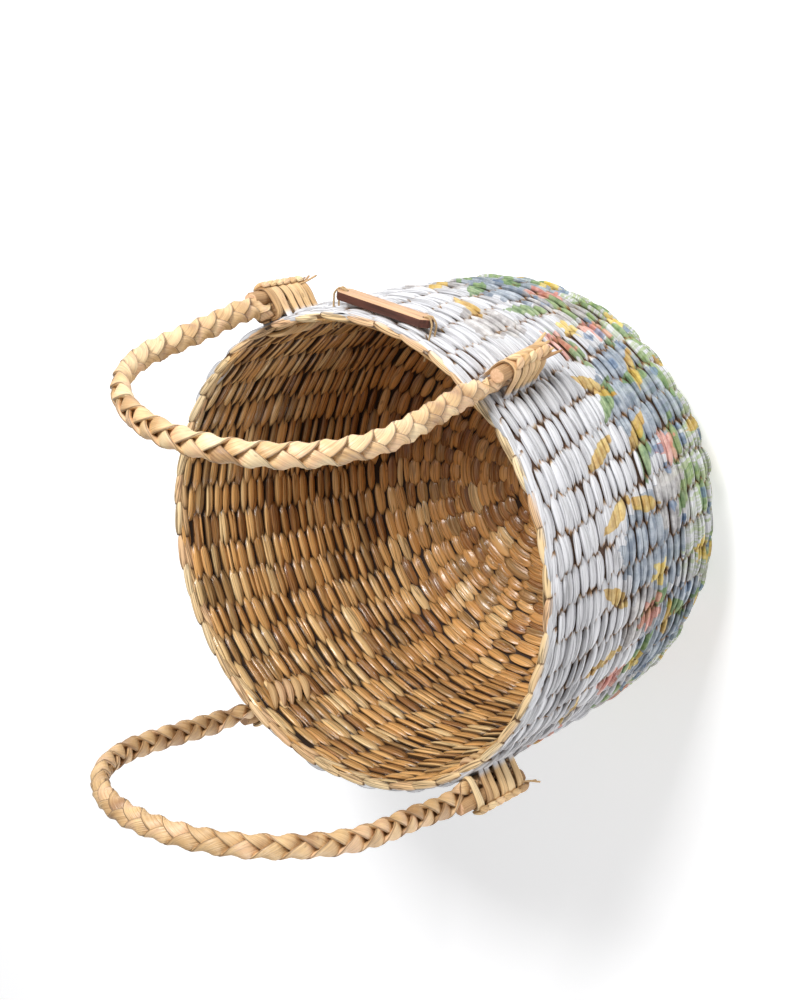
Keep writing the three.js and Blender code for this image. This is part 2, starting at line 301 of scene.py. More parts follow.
def deselect() -> None:
    """Leaves edit mode and clears the selection."""
    if bpy.context.object and bpy.context.object.mode != "OBJECT":
        bpy.ops.object.mode_set(mode="OBJECT")
    bpy.ops.object.select_all(action="DESELECT")


def primitive(kind: str, name: str, **settings: Any) -> Object:
    """Adds one of Blender's own mesh shapes, selected alone.

    Args:
        kind: of shape, such as cube.
        name: of the object.
        settings: what Blender's operator is given.

    Returns:
        The new object.
    """
    deselect()
    getattr(bpy.ops.mesh, f"primitive_{kind}_add")(**settings)
    bpy.context.object.name = name
    return bpy.context.object


def pick(obj: Object, kind: Pick, test: Callable[..., bool]) -> None:
    """Goes to edit mode with only some of an object selected.

    Args:
        obj: the active object.
        kind: what is selected.
        test: takes a point, an edge's two points, or a face's middle and normal.
    """
    bpy.ops.object.mode_set(mode="EDIT")
    bpy.context.tool_settings.mesh_select_mode = [kind is each for each in Pick]
    bpy.ops.mesh.select_all(action="DESELECT")
    bpy.ops.object.mode_set(mode="OBJECT")
    mesh = obj.data
    if kind is Pick.POINTS:
        for point in mesh.vertices:
            point.select = test(point.co)
    elif kind is Pick.EDGES:
        for edge in mesh.edges:
            edge.select = test(*(mesh.vertices[i].co for i in edge.vertices))
    else:
        for face in mesh.polygons:
            face.select = test(face.center, face.normal)
    bpy.ops.object.mode_set(mode="EDIT")


def take_shape(obj: Object, length: float, girth: float) -> Shape:
    """Reads a rod along X back as a shape, and removes the object.

    Args:
        obj: the modelled rod, from x -1 to 1.
        length: its real length in millimetres, for its map.
        girth: the real length round it in millimetres, for its map.

    Returns:
        The shape, with its map's seam on its underside.
    """
    deselect()
    points = np.array([point.co for point in obj.data.vertices])
    faces = [tuple(face.vertices) for face in obj.data.polygons]
    around = np.arctan2(points[:, 1], points[:, 2]) / (2 * math.pi)
    uv: list[tuple[float, float]] = []
    for face in faces:
        turn = around[list(face)]
        if turn.max() - turn.min() > 0.5:
            turn = turn % 1.0
        uv += [(points[i, 0] * length / 2, v * girth) for i, v in zip(face, turn)]
    bpy.data.objects.remove(obj)
    return Shape(points, faces, uv)


@dataclass(frozen=True)
class RodModel:
    """A strand modelled once: a faceted rod along X from -1 to 1, drawn in ring by ring."""

    sides: int
    rings: int
    width: Callable[[float], float]
    thick: Callable[[float], float]
    crease: float = 0.0
    square: float = 1.0
    length: float = 20.0
    girth: float = 16.0

    def model(self) -> Shape:
        """Models the rod in edit mode.

        Returns:
            The rod as a shape that is copied.
        """
        rod = primitive("cylinder", "rod", vertices=self.sides, radius=1, depth=2,
                        rotation=(0, math.pi / 2, 0))
        bpy.ops.object.transform_apply(location=False, rotation=True, scale=False)
        if self.square != 1:
            pick(rod, Pick.POINTS, lambda p: abs(abs(p.y) - abs(p.z)) < 0.1)
            bpy.ops.transform.resize(value=(1, self.square, self.square), center_override=(0, 0, 0))
        pick(rod, Pick.EDGES, lambda a, b: abs(a.x - b.x) > 1)
        bpy.ops.mesh.subdivide(number_cuts=self.rings - 2)
        step = 2 / (self.rings - 1)
        for ring in range(self.rings):
            x = ring * step - 1
            pick(rod, Pick.POINTS, lambda p: abs(p.x - x) < step / 3)
            size = (1, self.width(x), self.thick(x))
            bpy.ops.transform.resize(value=size, center_override=(x, 0, 0))
        if self.crease:
            pick(rod, Pick.POINTS, lambda p: p.z > 0.3 and abs(p.y) < 0.1)
            bpy.ops.transform.translate(value=(0, 0, -self.crease))
        return take_shape(rod, self.length, self.girth)


def ring_faces(rings: int, sides: int, closed: bool = False) -> list[tuple[int, ...]]:
    """The faces between rings of points.

    Args:
        rings: how many there are, one after another.
        sides: how many points each has.
        closed: whether the last ring is joined to the first.

    Returns:
        The corners of each face.
    """
    faces: list[tuple[int, ...]] = []
    for i in range(rings if closed else rings - 1):
        start, after = i * sides, (i + 1) % rings * sides
        for j in range(sides):
            k = (j + 1) % sides
            faces.append((start + j, start + k, after + k, after + j))
    return faces


def edges(sides: int) -> Array:
    """How near each corner of a swept strand's section is to the strand's two edges, up to 1."""
    return np.abs(np.cos(2 * math.pi * np.arange(sides) / sides)) ** 4


def sweep(path: Array, wide: Array, half_wide: Array | float, half_thick: Array | float,
          sides: int = 10, crease: float = 0.0) -> Shape:
    """A strand along a path, closed at both ends.

    Args:
        path: points along its middle.
        wide: roughly the direction of its width, all along or at each point.
        half_wide: half its width, all along or at each point.
        half_thick: half its thickness, all along or at each point.
        sides: of its section.
        crease: how deep a fold runs along both its faces, as a share of the thickness.

    Returns:
        The strand as a shape, with a map in millimetres.
    """
    count = len(path)
    ahead = np.gradient(path, axis=0)
    ahead /= np.linalg.norm(ahead, axis=1)[:, None]
    wide = wide - (wide * ahead).sum(1)[:, None] * ahead
    wide = wide / np.linalg.norm(wide, axis=1)[:, None]
    thick = np.cross(ahead, wide)
    turn = 2 * math.pi * np.arange(sides) / sides
    flat = np.cos(turn)
    crown = np.sin(turn) * (1 - crease * np.exp(-((flat / 0.3) ** 2)))
    half_wide = np.broadcast_to(half_wide, count)[:, None, None]
    half_thick = np.broadcast_to(half_thick, count)[:, None, None]
    points = path[:, None] + wide[:, None] * flat[None, :, None] * half_wide
    points = points + thick[:, None] * (crown[None, :, None] * half_thick)
    travel = np.concatenate([[0], np.cumsum(np.linalg.norm(np.diff(path, axis=0), axis=1))]) / MM
    girth = 4 * float(half_wide.mean() + half_thick.mean()) / MM / sides
    faces = ring_faces(count, sides)
    corners = ((0, 0), (0, 1), (1, 1), (1, 0))
    uv = [(travel[i + further], (j + beside) * girth)
          for i, j, (further, beside) in product(range(count - 1), range(sides), corners)]
    for end, order in ((0, range(sides)[::-1]), (count - 1, range(sides))):
        faces.append(tuple(end * sides + j for j in order))
        uv += [(travel[end], j * girth) for j in order]
    return Shape(points.reshape(-1, 3), faces, uv)


def smooth_path(points: Array, step: float) -> Array:
    """A smooth curve through points, at even steps.

    Args:
        points: what the curve goes through.
        step: the distance between the points that it returns, about.

    Returns:
        Points along the curve, with the first and the last of the given ones.
    """
    points = np.asarray(points, float)
    padded = np.vstack([2 * points[0] - points[1], points, 2 * points[-1] - points[-2]])
    fine: list[Array] = []
    t = np.linspace(0, 1, SPAN_STEPS, endpoint=False)[:, None]
    for a, b, c, d in zip(padded, padded[1:], padded[2:], padded[3:]):
        fine.append(0.5 * (2 * b + (c - a) * t + (2 * a - 5 * b + 4 * c - d) * t**2
                           + (3 * b - a - 3 * c + d) * t**3))
    dense = np.vstack([*fine, points[-1:]])
    travel = np.concatenate([[0], np.cumsum(np.linalg.norm(np.diff(dense, axis=0), axis=1))])
    even = np.linspace(0, travel[-1], max(2, round(travel[-1] / step) + 1))
    return np.stack([np.interp(even, travel, dense[:, axis]) for axis in range(3)], -1)


def math_method(operation: str, swapped: bool = False) -> Callable[["Socket", "Value"], "Socket"]:
    """A method that joins a socket and another value.

    Args:
        operation: of the Math node.
        swapped: whether the other value comes first.

    Returns:
        The method.
    """
    def method(self: "Socket", other: "Value") -> "Socket":
        """One Math node on both values."""
        return self.joined(operation, *((other, self) if swapped else (self, other)))

    return method


@dataclass(frozen=True)
class Socket:
    """A node's output in a material. Arithmetic on it adds Math nodes."""

    recipe: "Recipe"
    output: bpy.types.NodeSocket

    def joined(self, operation: str, *values: "Value") -> "Socket":
        """One Math node on some values."""
        return self.recipe.node("ShaderNodeMath", {"operation": operation}, dict(enumerate(values)))

    __add__, __radd__ = math_method("ADD"), math_method("ADD", True)
    __sub__, __rsub__ = math_method("SUBTRACT"), math_method("SUBTRACT", True)
    __mul__, __rmul__ = math_method("MULTIPLY"), math_method("MULTIPLY", True)
    __truediv__, __pow__ = math_method("DIVIDE"), math_method("POWER")

    def wave(self) -> "Socket":
        """The cosine of this value."""
        return self.joined("COSINE", self)

    def size(self) -> "Socket":
        """This value without its sign."""
        return self.joined("ABSOLUTE", self)

    def turn(self, other: "Value") -> "Socket":
        """The angle whose tangent is this value over another."""
        return self.joined("ARCTAN2", self, other)

    def also(self, name: str) -> "Socket":
        """Another output of the same node."""
        return Socket(self.recipe, self.output.node.outputs[name])

    def step(self, low: float, high: float) -> "Socket":
        """A smooth step between two values.

        Args:
            low: where it is 0.
            high: where it is 1, above the other or below it.

        Returns:
            The step, from 0 to 1.
        """
        rising = low < high
        inputs = {"Value": self, "From Min": min(low, high), "From Max": max(low, high)}
        inputs.update({"To Min": 0.0 if rising else 1.0, "To Max": 1.0 if rising else 0.0})
        return self.recipe.node("ShaderNodeMapRange", {"interpolation_type": "SMOOTHSTEP"}, inputs)


Value = Socket | float


class Recipe:
    """One material's nodes, written as expressions."""

    def __init__(self, name: str) -> None:
        """Starts a material with a plain Principled shader.

        Args:
            name: the material's name.
        """
        self.material = bpy.data.materials.new(name)
        self.material.use_nodes = True
        self.tree = self.material.node_tree
        self.shader = self.tree.nodes["Principled BSDF"]

    def node(self, kind: str, settings: dict[str, Any] | None = None,
             inputs: dict[Any, Any] | None = None, output: int | str = 0) -> Socket:
        """Adds any node.

        Args:
            kind: the node's type.
            settings: what is set on it first; stops are a ramp's places and colours.
            inputs: values or sockets for its inputs, by name or number.
            output: which output is wanted.

        Returns:
            That output.
        """
        made = self.tree.nodes.new(kind)
        for key, value in (settings or {}).items():
            if key == "stops":
                elements = made.color_ramp.elements
                while len(elements) < len(value):
                    elements.new(1.0)
                for element, (place, colour) in zip(elements, value):
                    element.position = place
                    element.color = (*colour, 1)
            else:
                setattr(made, key, value)
        for key, value in (inputs or {}).items():
            self.feed(made.inputs[key], value)
        return Socket(self, made.outputs[output])

    def feed(self, target: bpy.types.NodeSocket, value: Any) -> None:
        """Links a socket to an input, or sets a constant there.

        Args:
            target: the input.
            value: a socket, a colour or a number.
        """
        if isinstance(value, Socket):
            self.tree.links.new(value.output, target)
        elif target.type == "RGBA":
            target.default_value = (*value, 1)
        else:
            target.default_value = value

    def trait(self, name: str) -> Socket:
        """A number that the mesh holds at each point."""
        return self.node("ShaderNodeAttribute", {"attribute_name": name}, output="Fac")

    def stretched(self, source: Socket, scale: Colour) -> Socket:
        """Coordinates scaled along each axis."""
        return self.node("ShaderNodeVectorMath", {"operation": "MULTIPLY"}, {0: source, 1: scale})

    def mapped(self, scale: Colour) -> Socket:
        """The piece's own map, in millimetres along and round a strand, scaled."""
        return self.stretched(self.node("ShaderNodeUVMap", {"uv_map": "UVMap"}), scale)

    def placed(self) -> Socket:
        """Coordinates in the object's own frame, in metres."""
        return self.node("ShaderNodeTexCoord", output="Object")

    def parts(self, vector: Socket) -> tuple[Socket, Socket, Socket]:
        """The three numbers of a vector or a colour."""
        first = self.node("ShaderNodeSeparateXYZ", None, {0: vector})
        return first, first.also("Y"), first.also("Z")

    def vector(self, x: Value, y: Value, z: Value = 0.0) -> Socket:
        """A vector from three numbers."""
        return self.node("ShaderNodeCombineXYZ", None, {0: x, 1: y, 2: z})

    def noise(self, where: Socket, scale: float, detail: float = 2.0, rough: float = 0.5) -> Socket:
        """Cloudy noise from 0 to 1."""
        inputs = {"Vector": where, "Scale": scale, "Detail": detail, "Roughness": rough}
        return self.node("ShaderNodeTexNoise", None, inputs)

    def ramp(self, factor: Socket, stops: Sequence[tuple[float, Colour]]) -> Socket:
        """A colour by a number."""
        return self.node("ShaderNodeValToRGB", {"stops": stops}, {"Fac": factor})

    def mix(self, factor: Value, first: Any, second: Any, blend: str = "MIX") -> Socket:
        """Two colours mixed."""
        settings = {"data_type": "RGBA", "blend_type": blend, "clamp_factor": True}
        return self.node("ShaderNodeMix", settings, {0: factor, 6: first, 7: second}, 2)

    def bump(self, height: Socket, depth: float, strength: float = 1.0) -> Socket:
        """A normal from a height, whose full range is depth metres."""
        inputs = {"Height": height, "Distance": depth, "Strength": strength}
        return self.node("ShaderNodeBump", None, inputs, "Normal")

    def finish(self, **sockets: Any) -> Material:
        """Sets the shader's sockets.

        Args:
            sockets: what goes into each, by its name with underscores for spaces.

        Returns:
            The material.
        """
        for name, value in sockets.items():
            self.feed(self.shader.inputs[name.replace("_", " ")], value)
        return self.material


@dataclass(frozen=True)
class Straw:
    """Dried seagrass: strands of mixed tones, with fibres along them and dark specks, and painted
    shade in their creases and at their tips and edges.
    """

    name: str
    tones: tuple[tuple[float, Colour], ...]
    gloss: float = 0.13
    lines: float = 0.7
    deep: Colour = (0.090, 0.036, 0.011)

    def colour(self, recipe: Recipe) -> tuple[Socket, Socket]:
        """The bare strand's colour and the height of its fibres.

        Args:
            recipe: the material.

        Returns:
            The colour, and a height from 0 to 1.
        """
        fibre = recipe.noise(recipe.mapped((0.05, 1.3, 1)), 1.0, 3.0, 0.6)
        streak = recipe.noise(recipe.mapped((0.03, 0.40, 1)), 1.0, 2.0)
        ridge = recipe.noise(recipe.mapped((0.022, 0.50, 1)), 1.0, 1.0)
        fold = (ridge - 0.5).size().step(0.05, 0.0)
        blotch = recipe.noise(recipe.mapped((0.16, 0.22, 1)), 1.0, 3.0)
        base = recipe.ramp(recipe.trait("tone") + (streak - 0.5) * 0.40, self.tones)
        light = recipe.mix(fibre.step(0.45, 0.75) * 0.28, base, (0.92, 0.72, 0.42))
        dark = recipe.mix(fibre.step(0.44, 0.26) * 0.36, light, self.deep)
        # the fold lines are darkened with the deep colour: painted shade in the creases
        folded = recipe.mix(fold * self.lines, dark, self.deep)
        specks = recipe.mix(blotch.step(0.66, 0.74) * 0.45, folded, (0.20, 0.10, 0.04))
        # the tip trait darkens ends, undersides and edges with the deep colour: painted shade where
        # strands dive under and meet their neighbours
        shaded_ends = recipe.mix(recipe.trait("tip").step(0.48, 0.92) * 0.90, specks, self.deep)
        return shaded_ends, fibre * 0.4 + streak * 0.6 - fold * (0.7 * self.lines)

    def make(self) -> Material:
        """Makes the finish.

        Returns:
            Its material.
        """
        recipe = Recipe(self.name)
        colour, height = self.colour(recipe)
        return recipe.finish(
            Base_Color=colour,
            Roughness=self.gloss + height * 0.25,
            Normal=recipe.bump(height, 0.8 * MM, 1.0),
            Specular_IOR_Level=0.9,
        )


class Motif(Enum):
    """The kinds of form in the print."""

    BLOSSOM = "blossom"
    CLUSTER = "cluster"
    LEAF = "leaf"
    BERRY = "berry"


@dataclass(frozen=True)
class PrintLayer:
    """One kind of form, strewn over the wall. Lengths are in millimetres.

    Attributes:
        motif: its kind.
        spacing: between two places where it may be.
        reach: from its middle to its end.
        dark: its deeper colour.
        light: its paler colour.
        share: how many of the places have one.
        low: the height that it starts at.
        high: the height that it ends at.
        shift: moves the places, so that layers don't fall together.
    """

    motif: Motif
    spacing: float
    reach: float
    dark: Colour
    light: Colour
    share: float
    low: float
    high: float
    shift: float

    def over(self, recipe: Recipe, ground: Socket, around: Socket, height: Socket) -> Socket:
        """Prints the layer.

        Args:
            recipe: the material.
            ground: the colour that it is printed on.
            around: millimetres round the wall from its front.
            height: millimetres above the ground.

        Returns:
            The printed colour.
        """
        wobble = recipe.noise(recipe.vector(around, height, self.shift), 0.11, 2.0)
        here = recipe.vector(around / self.spacing + self.shift, height / self.spacing + self.shift)
        cells = recipe.node("ShaderNodeTexVoronoi", {"voronoi_dimensions": "2D"},
                            {"Vector": here, "Scale": 1.0, "Randomness": 0.55}, "Position")
        chance, angle, shade = recipe.parts(cells.also("Color"))
        centre_x, centre_y, _ = recipe.parts(cells)
        here_x, here_y, _ = recipe.parts(here)
        x = (here_x - centre_x) * self.spacing + (wobble - 0.5) * 3.0
        y = (here_y - centre_y) * self.spacing - (wobble - 0.5) * 3.0
        distance = (x * x + y * y) ** 0.5
        bearing = y.turn(x) + angle * 6.3
        if self.motif is Motif.BLOSSOM:
            edge = self.reach * (0.76 + (bearing * 5.0).wave() * 0.24)
            depth = distance / self.reach
        elif self.motif is Motif.LEAF:
            length = distance * bearing.wave()
            width = (distance**2 - length**2 + 0.0001) ** 0.5
            edge = distance + (1 - (length / self.reach) ** 2) * self.reach * 0.27 - width
            depth = (width / self.reach * 3.2) * 0.6 + length / self.reach * 0.2 + 0.3
        elif self.motif is Motif.CLUSTER:
            petals = recipe.node("ShaderNodeTexVoronoi", {"voronoi_dimensions": "2D"},
                                 {"Vector": recipe.vector(around, height), "Scale": 0.11})
            ragged = 0.82 + (bearing * 3.0).wave() * 0.08 + (wobble - 0.5) * 0.5
            edge = self.reach * ragged - petals * 3.0
            depth = petals * 0.9 + (wobble - 0.4) * 0.8
        else:
            edge = distance * 0.0 + self.reach
            depth = distance / self.reach
        low, high = (limit / self.spacing + self.shift for limit in (self.low, self.high))
        mask = (edge - distance).step(-0.2, 0.5) * chance.step(1.0 - self.share, 1.01 - self.share)
        mask = mask * centre_y.step(low, low + 0.05) * centre_y.step(high, high - 0.05)
        wash = recipe.noise(recipe.vector(around, height, shade * 40.0), 0.16, 4.0, 0.65)
        fade = (depth * 0.8 + (wash - 0.5) * 2.6 + 0.1).step(0.0, 1.0)
        colour = recipe.mix(fade, self.dark, self.light)
        inked = recipe.mix((edge - distance).step(1.8, 0.3) * 0.55, colour, self.dark)
        return recipe.mix(mask * (0.96 - wash * 0.35), ground, inked)


PRINT = (
    PrintLayer(Motif.CLUSTER, 97, 47, (0.14, 0.19, 0.26), (0.42, 0.47, 0.52), 0.80, 30, 162, 3.30),
    PrintLayer(Motif.CLUSTER, 71, 26, (0.34, 0.31, 0.30), (0.66, 0.63, 0.60), 0.60, 20, 160, 9.85),
    PrintLayer(Motif.LEAF, 37, 21, (0.10, 0.20, 0.05), (0.33, 0.45, 0.15), 0.86, -10, 122, 7.15),
    PrintLayer(Motif.LEAF, 43, 19, (0.50, 0.27, 0.02), (0.80, 0.58, 0.12), 0.50, 0, 170, 12.6),
    PrintLayer(Motif.BLOSSOM, 47, 14, (0.54, 0.16, 0.11), (0.80, 0.45, 0.36), 0.46, 12, 165, 25.7),
    PrintLayer(Motif.BLOSSOM, 57, 10, (0.72, 0.48, 0.04), (0.86, 0.70, 0.24), 0.42, 0, 120, 31.4),
    PrintLayer(Motif.BERRY, 12, 4.2, (0.07, 0.12, 0.22), (0.26, 0.36, 0.50), 0.20, 8, 100, 37.9),
)


@dataclass(frozen=True)
class PaintedStraw(Straw):
    """Seagrass with white paint, which misses the hollows and is greyed in its grooves as painted
    shade, and a print of leaves and blossoms.
    """

    paint: Colour = (0.66, 0.66, 0.68)
    layers: tuple[PrintLayer, ...] = PRINT

    def printed(self, recipe: Recipe, ground: Socket) -> Socket:
        """The print over a ground, with a tuft of grass strokes round the foot.

        Args:
            recipe: the material.
            ground: the colour that it is printed on.

        Returns:
            The printed colour.
        """
        x, y, z = recipe.parts(recipe.placed())
        bearing = x.turn(y * -1.0)
        around = bearing * (BasketShape.rim_radius / MM)
        height = z * (1 / MM)
        bare_seam = bearing.size().step(3.08, 2.98)
        strokes = recipe.vector(around * 0.42 + height * 0.10, height * 0.035)
        blades = recipe.noise(strokes, 1.0, 3.0, 0.6)
        mound = recipe.noise(recipe.vector(around, 0.0), 0.022, 2.0)
        tall = (height - mound * 165.0).step(14.0, -30.0)
        grass = recipe.ramp(blades, ((0.3, (0.10, 0.19, 0.05)), (0.6, (0.38, 0.47, 0.19))))
        colour = recipe.mix(tall * blades.step(0.44, 0.56) * 0.75, ground, grass)
        for layer in self.layers:
            colour = layer.over(recipe, colour, around, height)
        return recipe.mix(bare_seam, ground, colour)

    def make(self) -> Material:
        """Makes the finish.

        Returns:
            Its material.
        """
        recipe = Recipe(self.name)
        bare, height = self.colour(recipe)
        patch = recipe.noise(recipe.mapped((0.12, 0.3, 1)), 1.0, 3.0)
        cover = (recipe.trait("tip") + (patch - 0.5) * 0.6).step(0.84, 0.64)
        cover = cover * (1 - recipe.trait("bare"))
        # the paint is greyed where the fibres and fold lines lie low: painted shade in the grooves
        groove_shaded_paint = recipe.mix(height.step(0.42, 0.18) * 0.55, self.paint, (0.40, 0.39, 0.40))
        coat = self.printed(recipe, groove_shaded_paint) if self.layers else groove_shaded_paint
        return recipe.finish(
            Base_Color=recipe.mix(cover, bare, coat),
            Roughness=0.5 + height * 0.15,
            Normal=recipe.bump(height, 0.9 * MM, 0.9),
            Specular_IOR_Level=0.4,
        )


HONEY = (
    (0.00, (0.22, 0.080, 0.022)),
    (0.12, (0.42, 0.190, 0.058)),
    (0.24, (0.44, 0.270, 0.110)),
    (0.36, (0.64, 0.325, 0.104)),
    (0.60, (0.78, 0.420, 0.142)),
    (0.85, (0.88, 0.535, 0.215)),
    (1.00, (0.93, 0.665, 0.330)),
)
PALE = (
    (0.00, (0.36, 0.185, 0.078)),
    (0.20, (0.56, 0.340, 0.150)),
    (0.45, (0.73, 0.480, 0.230)),
    (0.65, (0.73, 0.455, 0.255)),
    (0.80, (0.79, 0.565, 0.300)),
    (1.00, (0.84, 0.660, 0.400)),
)


@dataclass(frozen=True)
class Hollow:
    """The sheet deep in the weave, coloured as painted shade: near black on the inside, and a dark
    brown behind the painted strands, where the unpainted straw shows.
    """

    name: str = "weave_hollow"

    def make(self) -> Material:
        """Makes the finish.

        Returns:
            Its material.
        """
        recipe = Recipe(self.name)
        # near black inside and dark brown outside, by the bare trait: painted shade in the gaps
        # between the floats
        colour = recipe.mix(recipe.trait("bare"), (0.026, 0.012, 0.006), (0.070, 0.032, 0.015))
        return recipe.finish(Base_Color=colour, Roughness=0.8)


@dataclass(frozen=True)
class CutReed:
    """A cut reed: tan and ribbed along its sides, with a smooth peach cut end."""

    name: str = "cut_reed"

    def make(self) -> Material:
        """Makes the finish.

        Returns:
            Its material.
        """
        recipe = Recipe(self.name)
        rib = recipe.noise(recipe.mapped((0.03, 0.9, 1)), 1.0, 3.0)
        pith = recipe.noise(recipe.placed(), 900.0, 3.0)
        side = recipe.ramp(rib, ((0.3, (0.27, 0.13, 0.05)), (0.7, (0.55, 0.34, 0.16))))
        cut = recipe.ramp(pith, ((0.3, (0.62, 0.36, 0.20)), (0.7, (0.76, 0.50, 0.31))))
        return recipe.finish(
            Base_Color=recipe.mix(recipe.trait("bare"), side, cut),
            Roughness=0.62 + rib * 0.2,
            Normal=recipe.bump(rib * 0.8 + pith * 0.2, 0.5 * MM, 0.8),
        )


@dataclass(frozen=True)
class BurntWood:
    """Bare light wood cut by heat, which leaves its edges dark."""

    name: str = "tag_wood"
    face: float = 0.3

    def make(self) -> Material:
        """Makes the finish.

        Returns:
            Its material.
        """
        recipe = Recipe(self.name)
        grain = recipe.noise(recipe.stretched(recipe.placed(), (40, 400, 900)), 1.0, 4.0, 0.6)
        wood = recipe.ramp(grain, ((0.25, (0.36, 0.18, 0.08)), (0.55, (0.60, 0.36, 0.19)),
                                   (0.8, (0.70, 0.47, 0.28))))
        burnt = recipe.ramp(grain, ((0.3, (0.035, 0.012, 0.008)), (0.75, (0.13, 0.040, 0.024))))
        return recipe.finish(
            Base_Color=recipe.mix(recipe.trait("bare"), burnt, wood),
            Roughness=0.42 + grain * 0.2,
            Normal=recipe.bump(grain, 0.25 * MM, 0.6),
        )


@dataclass(frozen=True)
class Twine:
    """Jute twine with the twist of its plies."""

    name: str = "jute_twine"

    def make(self) -> Material:
        """Makes the finish.

        Returns:
            Its material.
        """
        recipe = Recipe(self.name)
        settings = {"wave_type": "BANDS", "bands_direction": "DIAGONAL"}
        inputs = {"Vector": recipe.mapped((0.5, 0.6, 1)), "Scale": 1.0, "Distortion": 1.5}
        twist = recipe.node("ShaderNodeTexWave", settings, inputs)
        colour = recipe.ramp(twist, ((0.1, (0.36, 0.22, 0.10)), (0.7, (0.66, 0.46, 0.24))))
        return recipe.finish(Base_Color=colour, Roughness=0.8 - twist * 0.1,
                             Normal=recipe.bump(twist, 0.4 * MM, 0.8))


@dataclass(frozen=True)
class PaleFloor:
    """The plain floor of the studio."""

    name: str = "pale_floor"

    def make(self) -> Material:
        """Makes the finish.

        Returns:
            Its material.
        """
        recipe = Recipe(self.name)
        return recipe.finish(Base_Color=(0.86, 0.86, 0.87), Roughness=0.9, Specular_IOR_Level=0.1,
                             Emission_Color=(1.0, 1.0, 1.0), Emission_Strength=0.37)


def dress(obj: Object, material: Material, slot: str, *nodes: str) -> None:
    """Finishes a piece that moves with the basket itself.

    Args:
        obj: the piece.
        material: its finish.
        slot: not used.
        nodes: the solids that it stands for.
    """
    obj.data.materials.append(material)
    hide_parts(*nodes)
    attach(obj, BODY)
    LOG.info("%s: %d faces", obj.name, len(obj.data.polygons))


@dataclass(frozen=True)
class Float:
    """One form of a strand's float over a stake.

    Attributes:
        leaf: its shape.
        kind: which floats have it; a kind with two forms is a split or folded strand.
        share: how much of the row's width it takes.
        aside: how far aside it lies in the row, as a share of that width.
        raised: how far it stands above the others.
    """

    leaf: Shape
    kind: int
    share: float = 1.0
    aside: float = 0.0
    raised: float = 0.0


@dataclass(frozen=True)
class Face:
    """How the strands lie on one face of the weave.

    Attributes:
        width: of a whole strand.
        least: the narrowest, as a share of that.
        reach: the length of a float, in steps from stake to stake.
        tilt: how far a strand is turned about its length.
        under: how much painted shade darkens its sides and underside; on the outside the paint also
            misses more there.
        point: how sharply the painted shade at its ends starts, and on the outside the bare straw
            there.
    """

    width: float
    least: float
    reach: float
    tilt: float
    under: float
    point: float


FACES = {
    Side.INSIDE: Face(8.6 * MM, 0.84, 1.50, 0.26, 0.92, 1.4),
    Side.OUTSIDE: Face(9.3 * MM, 0.95, 1.42, 0.32, 0.36, 1.0),
}


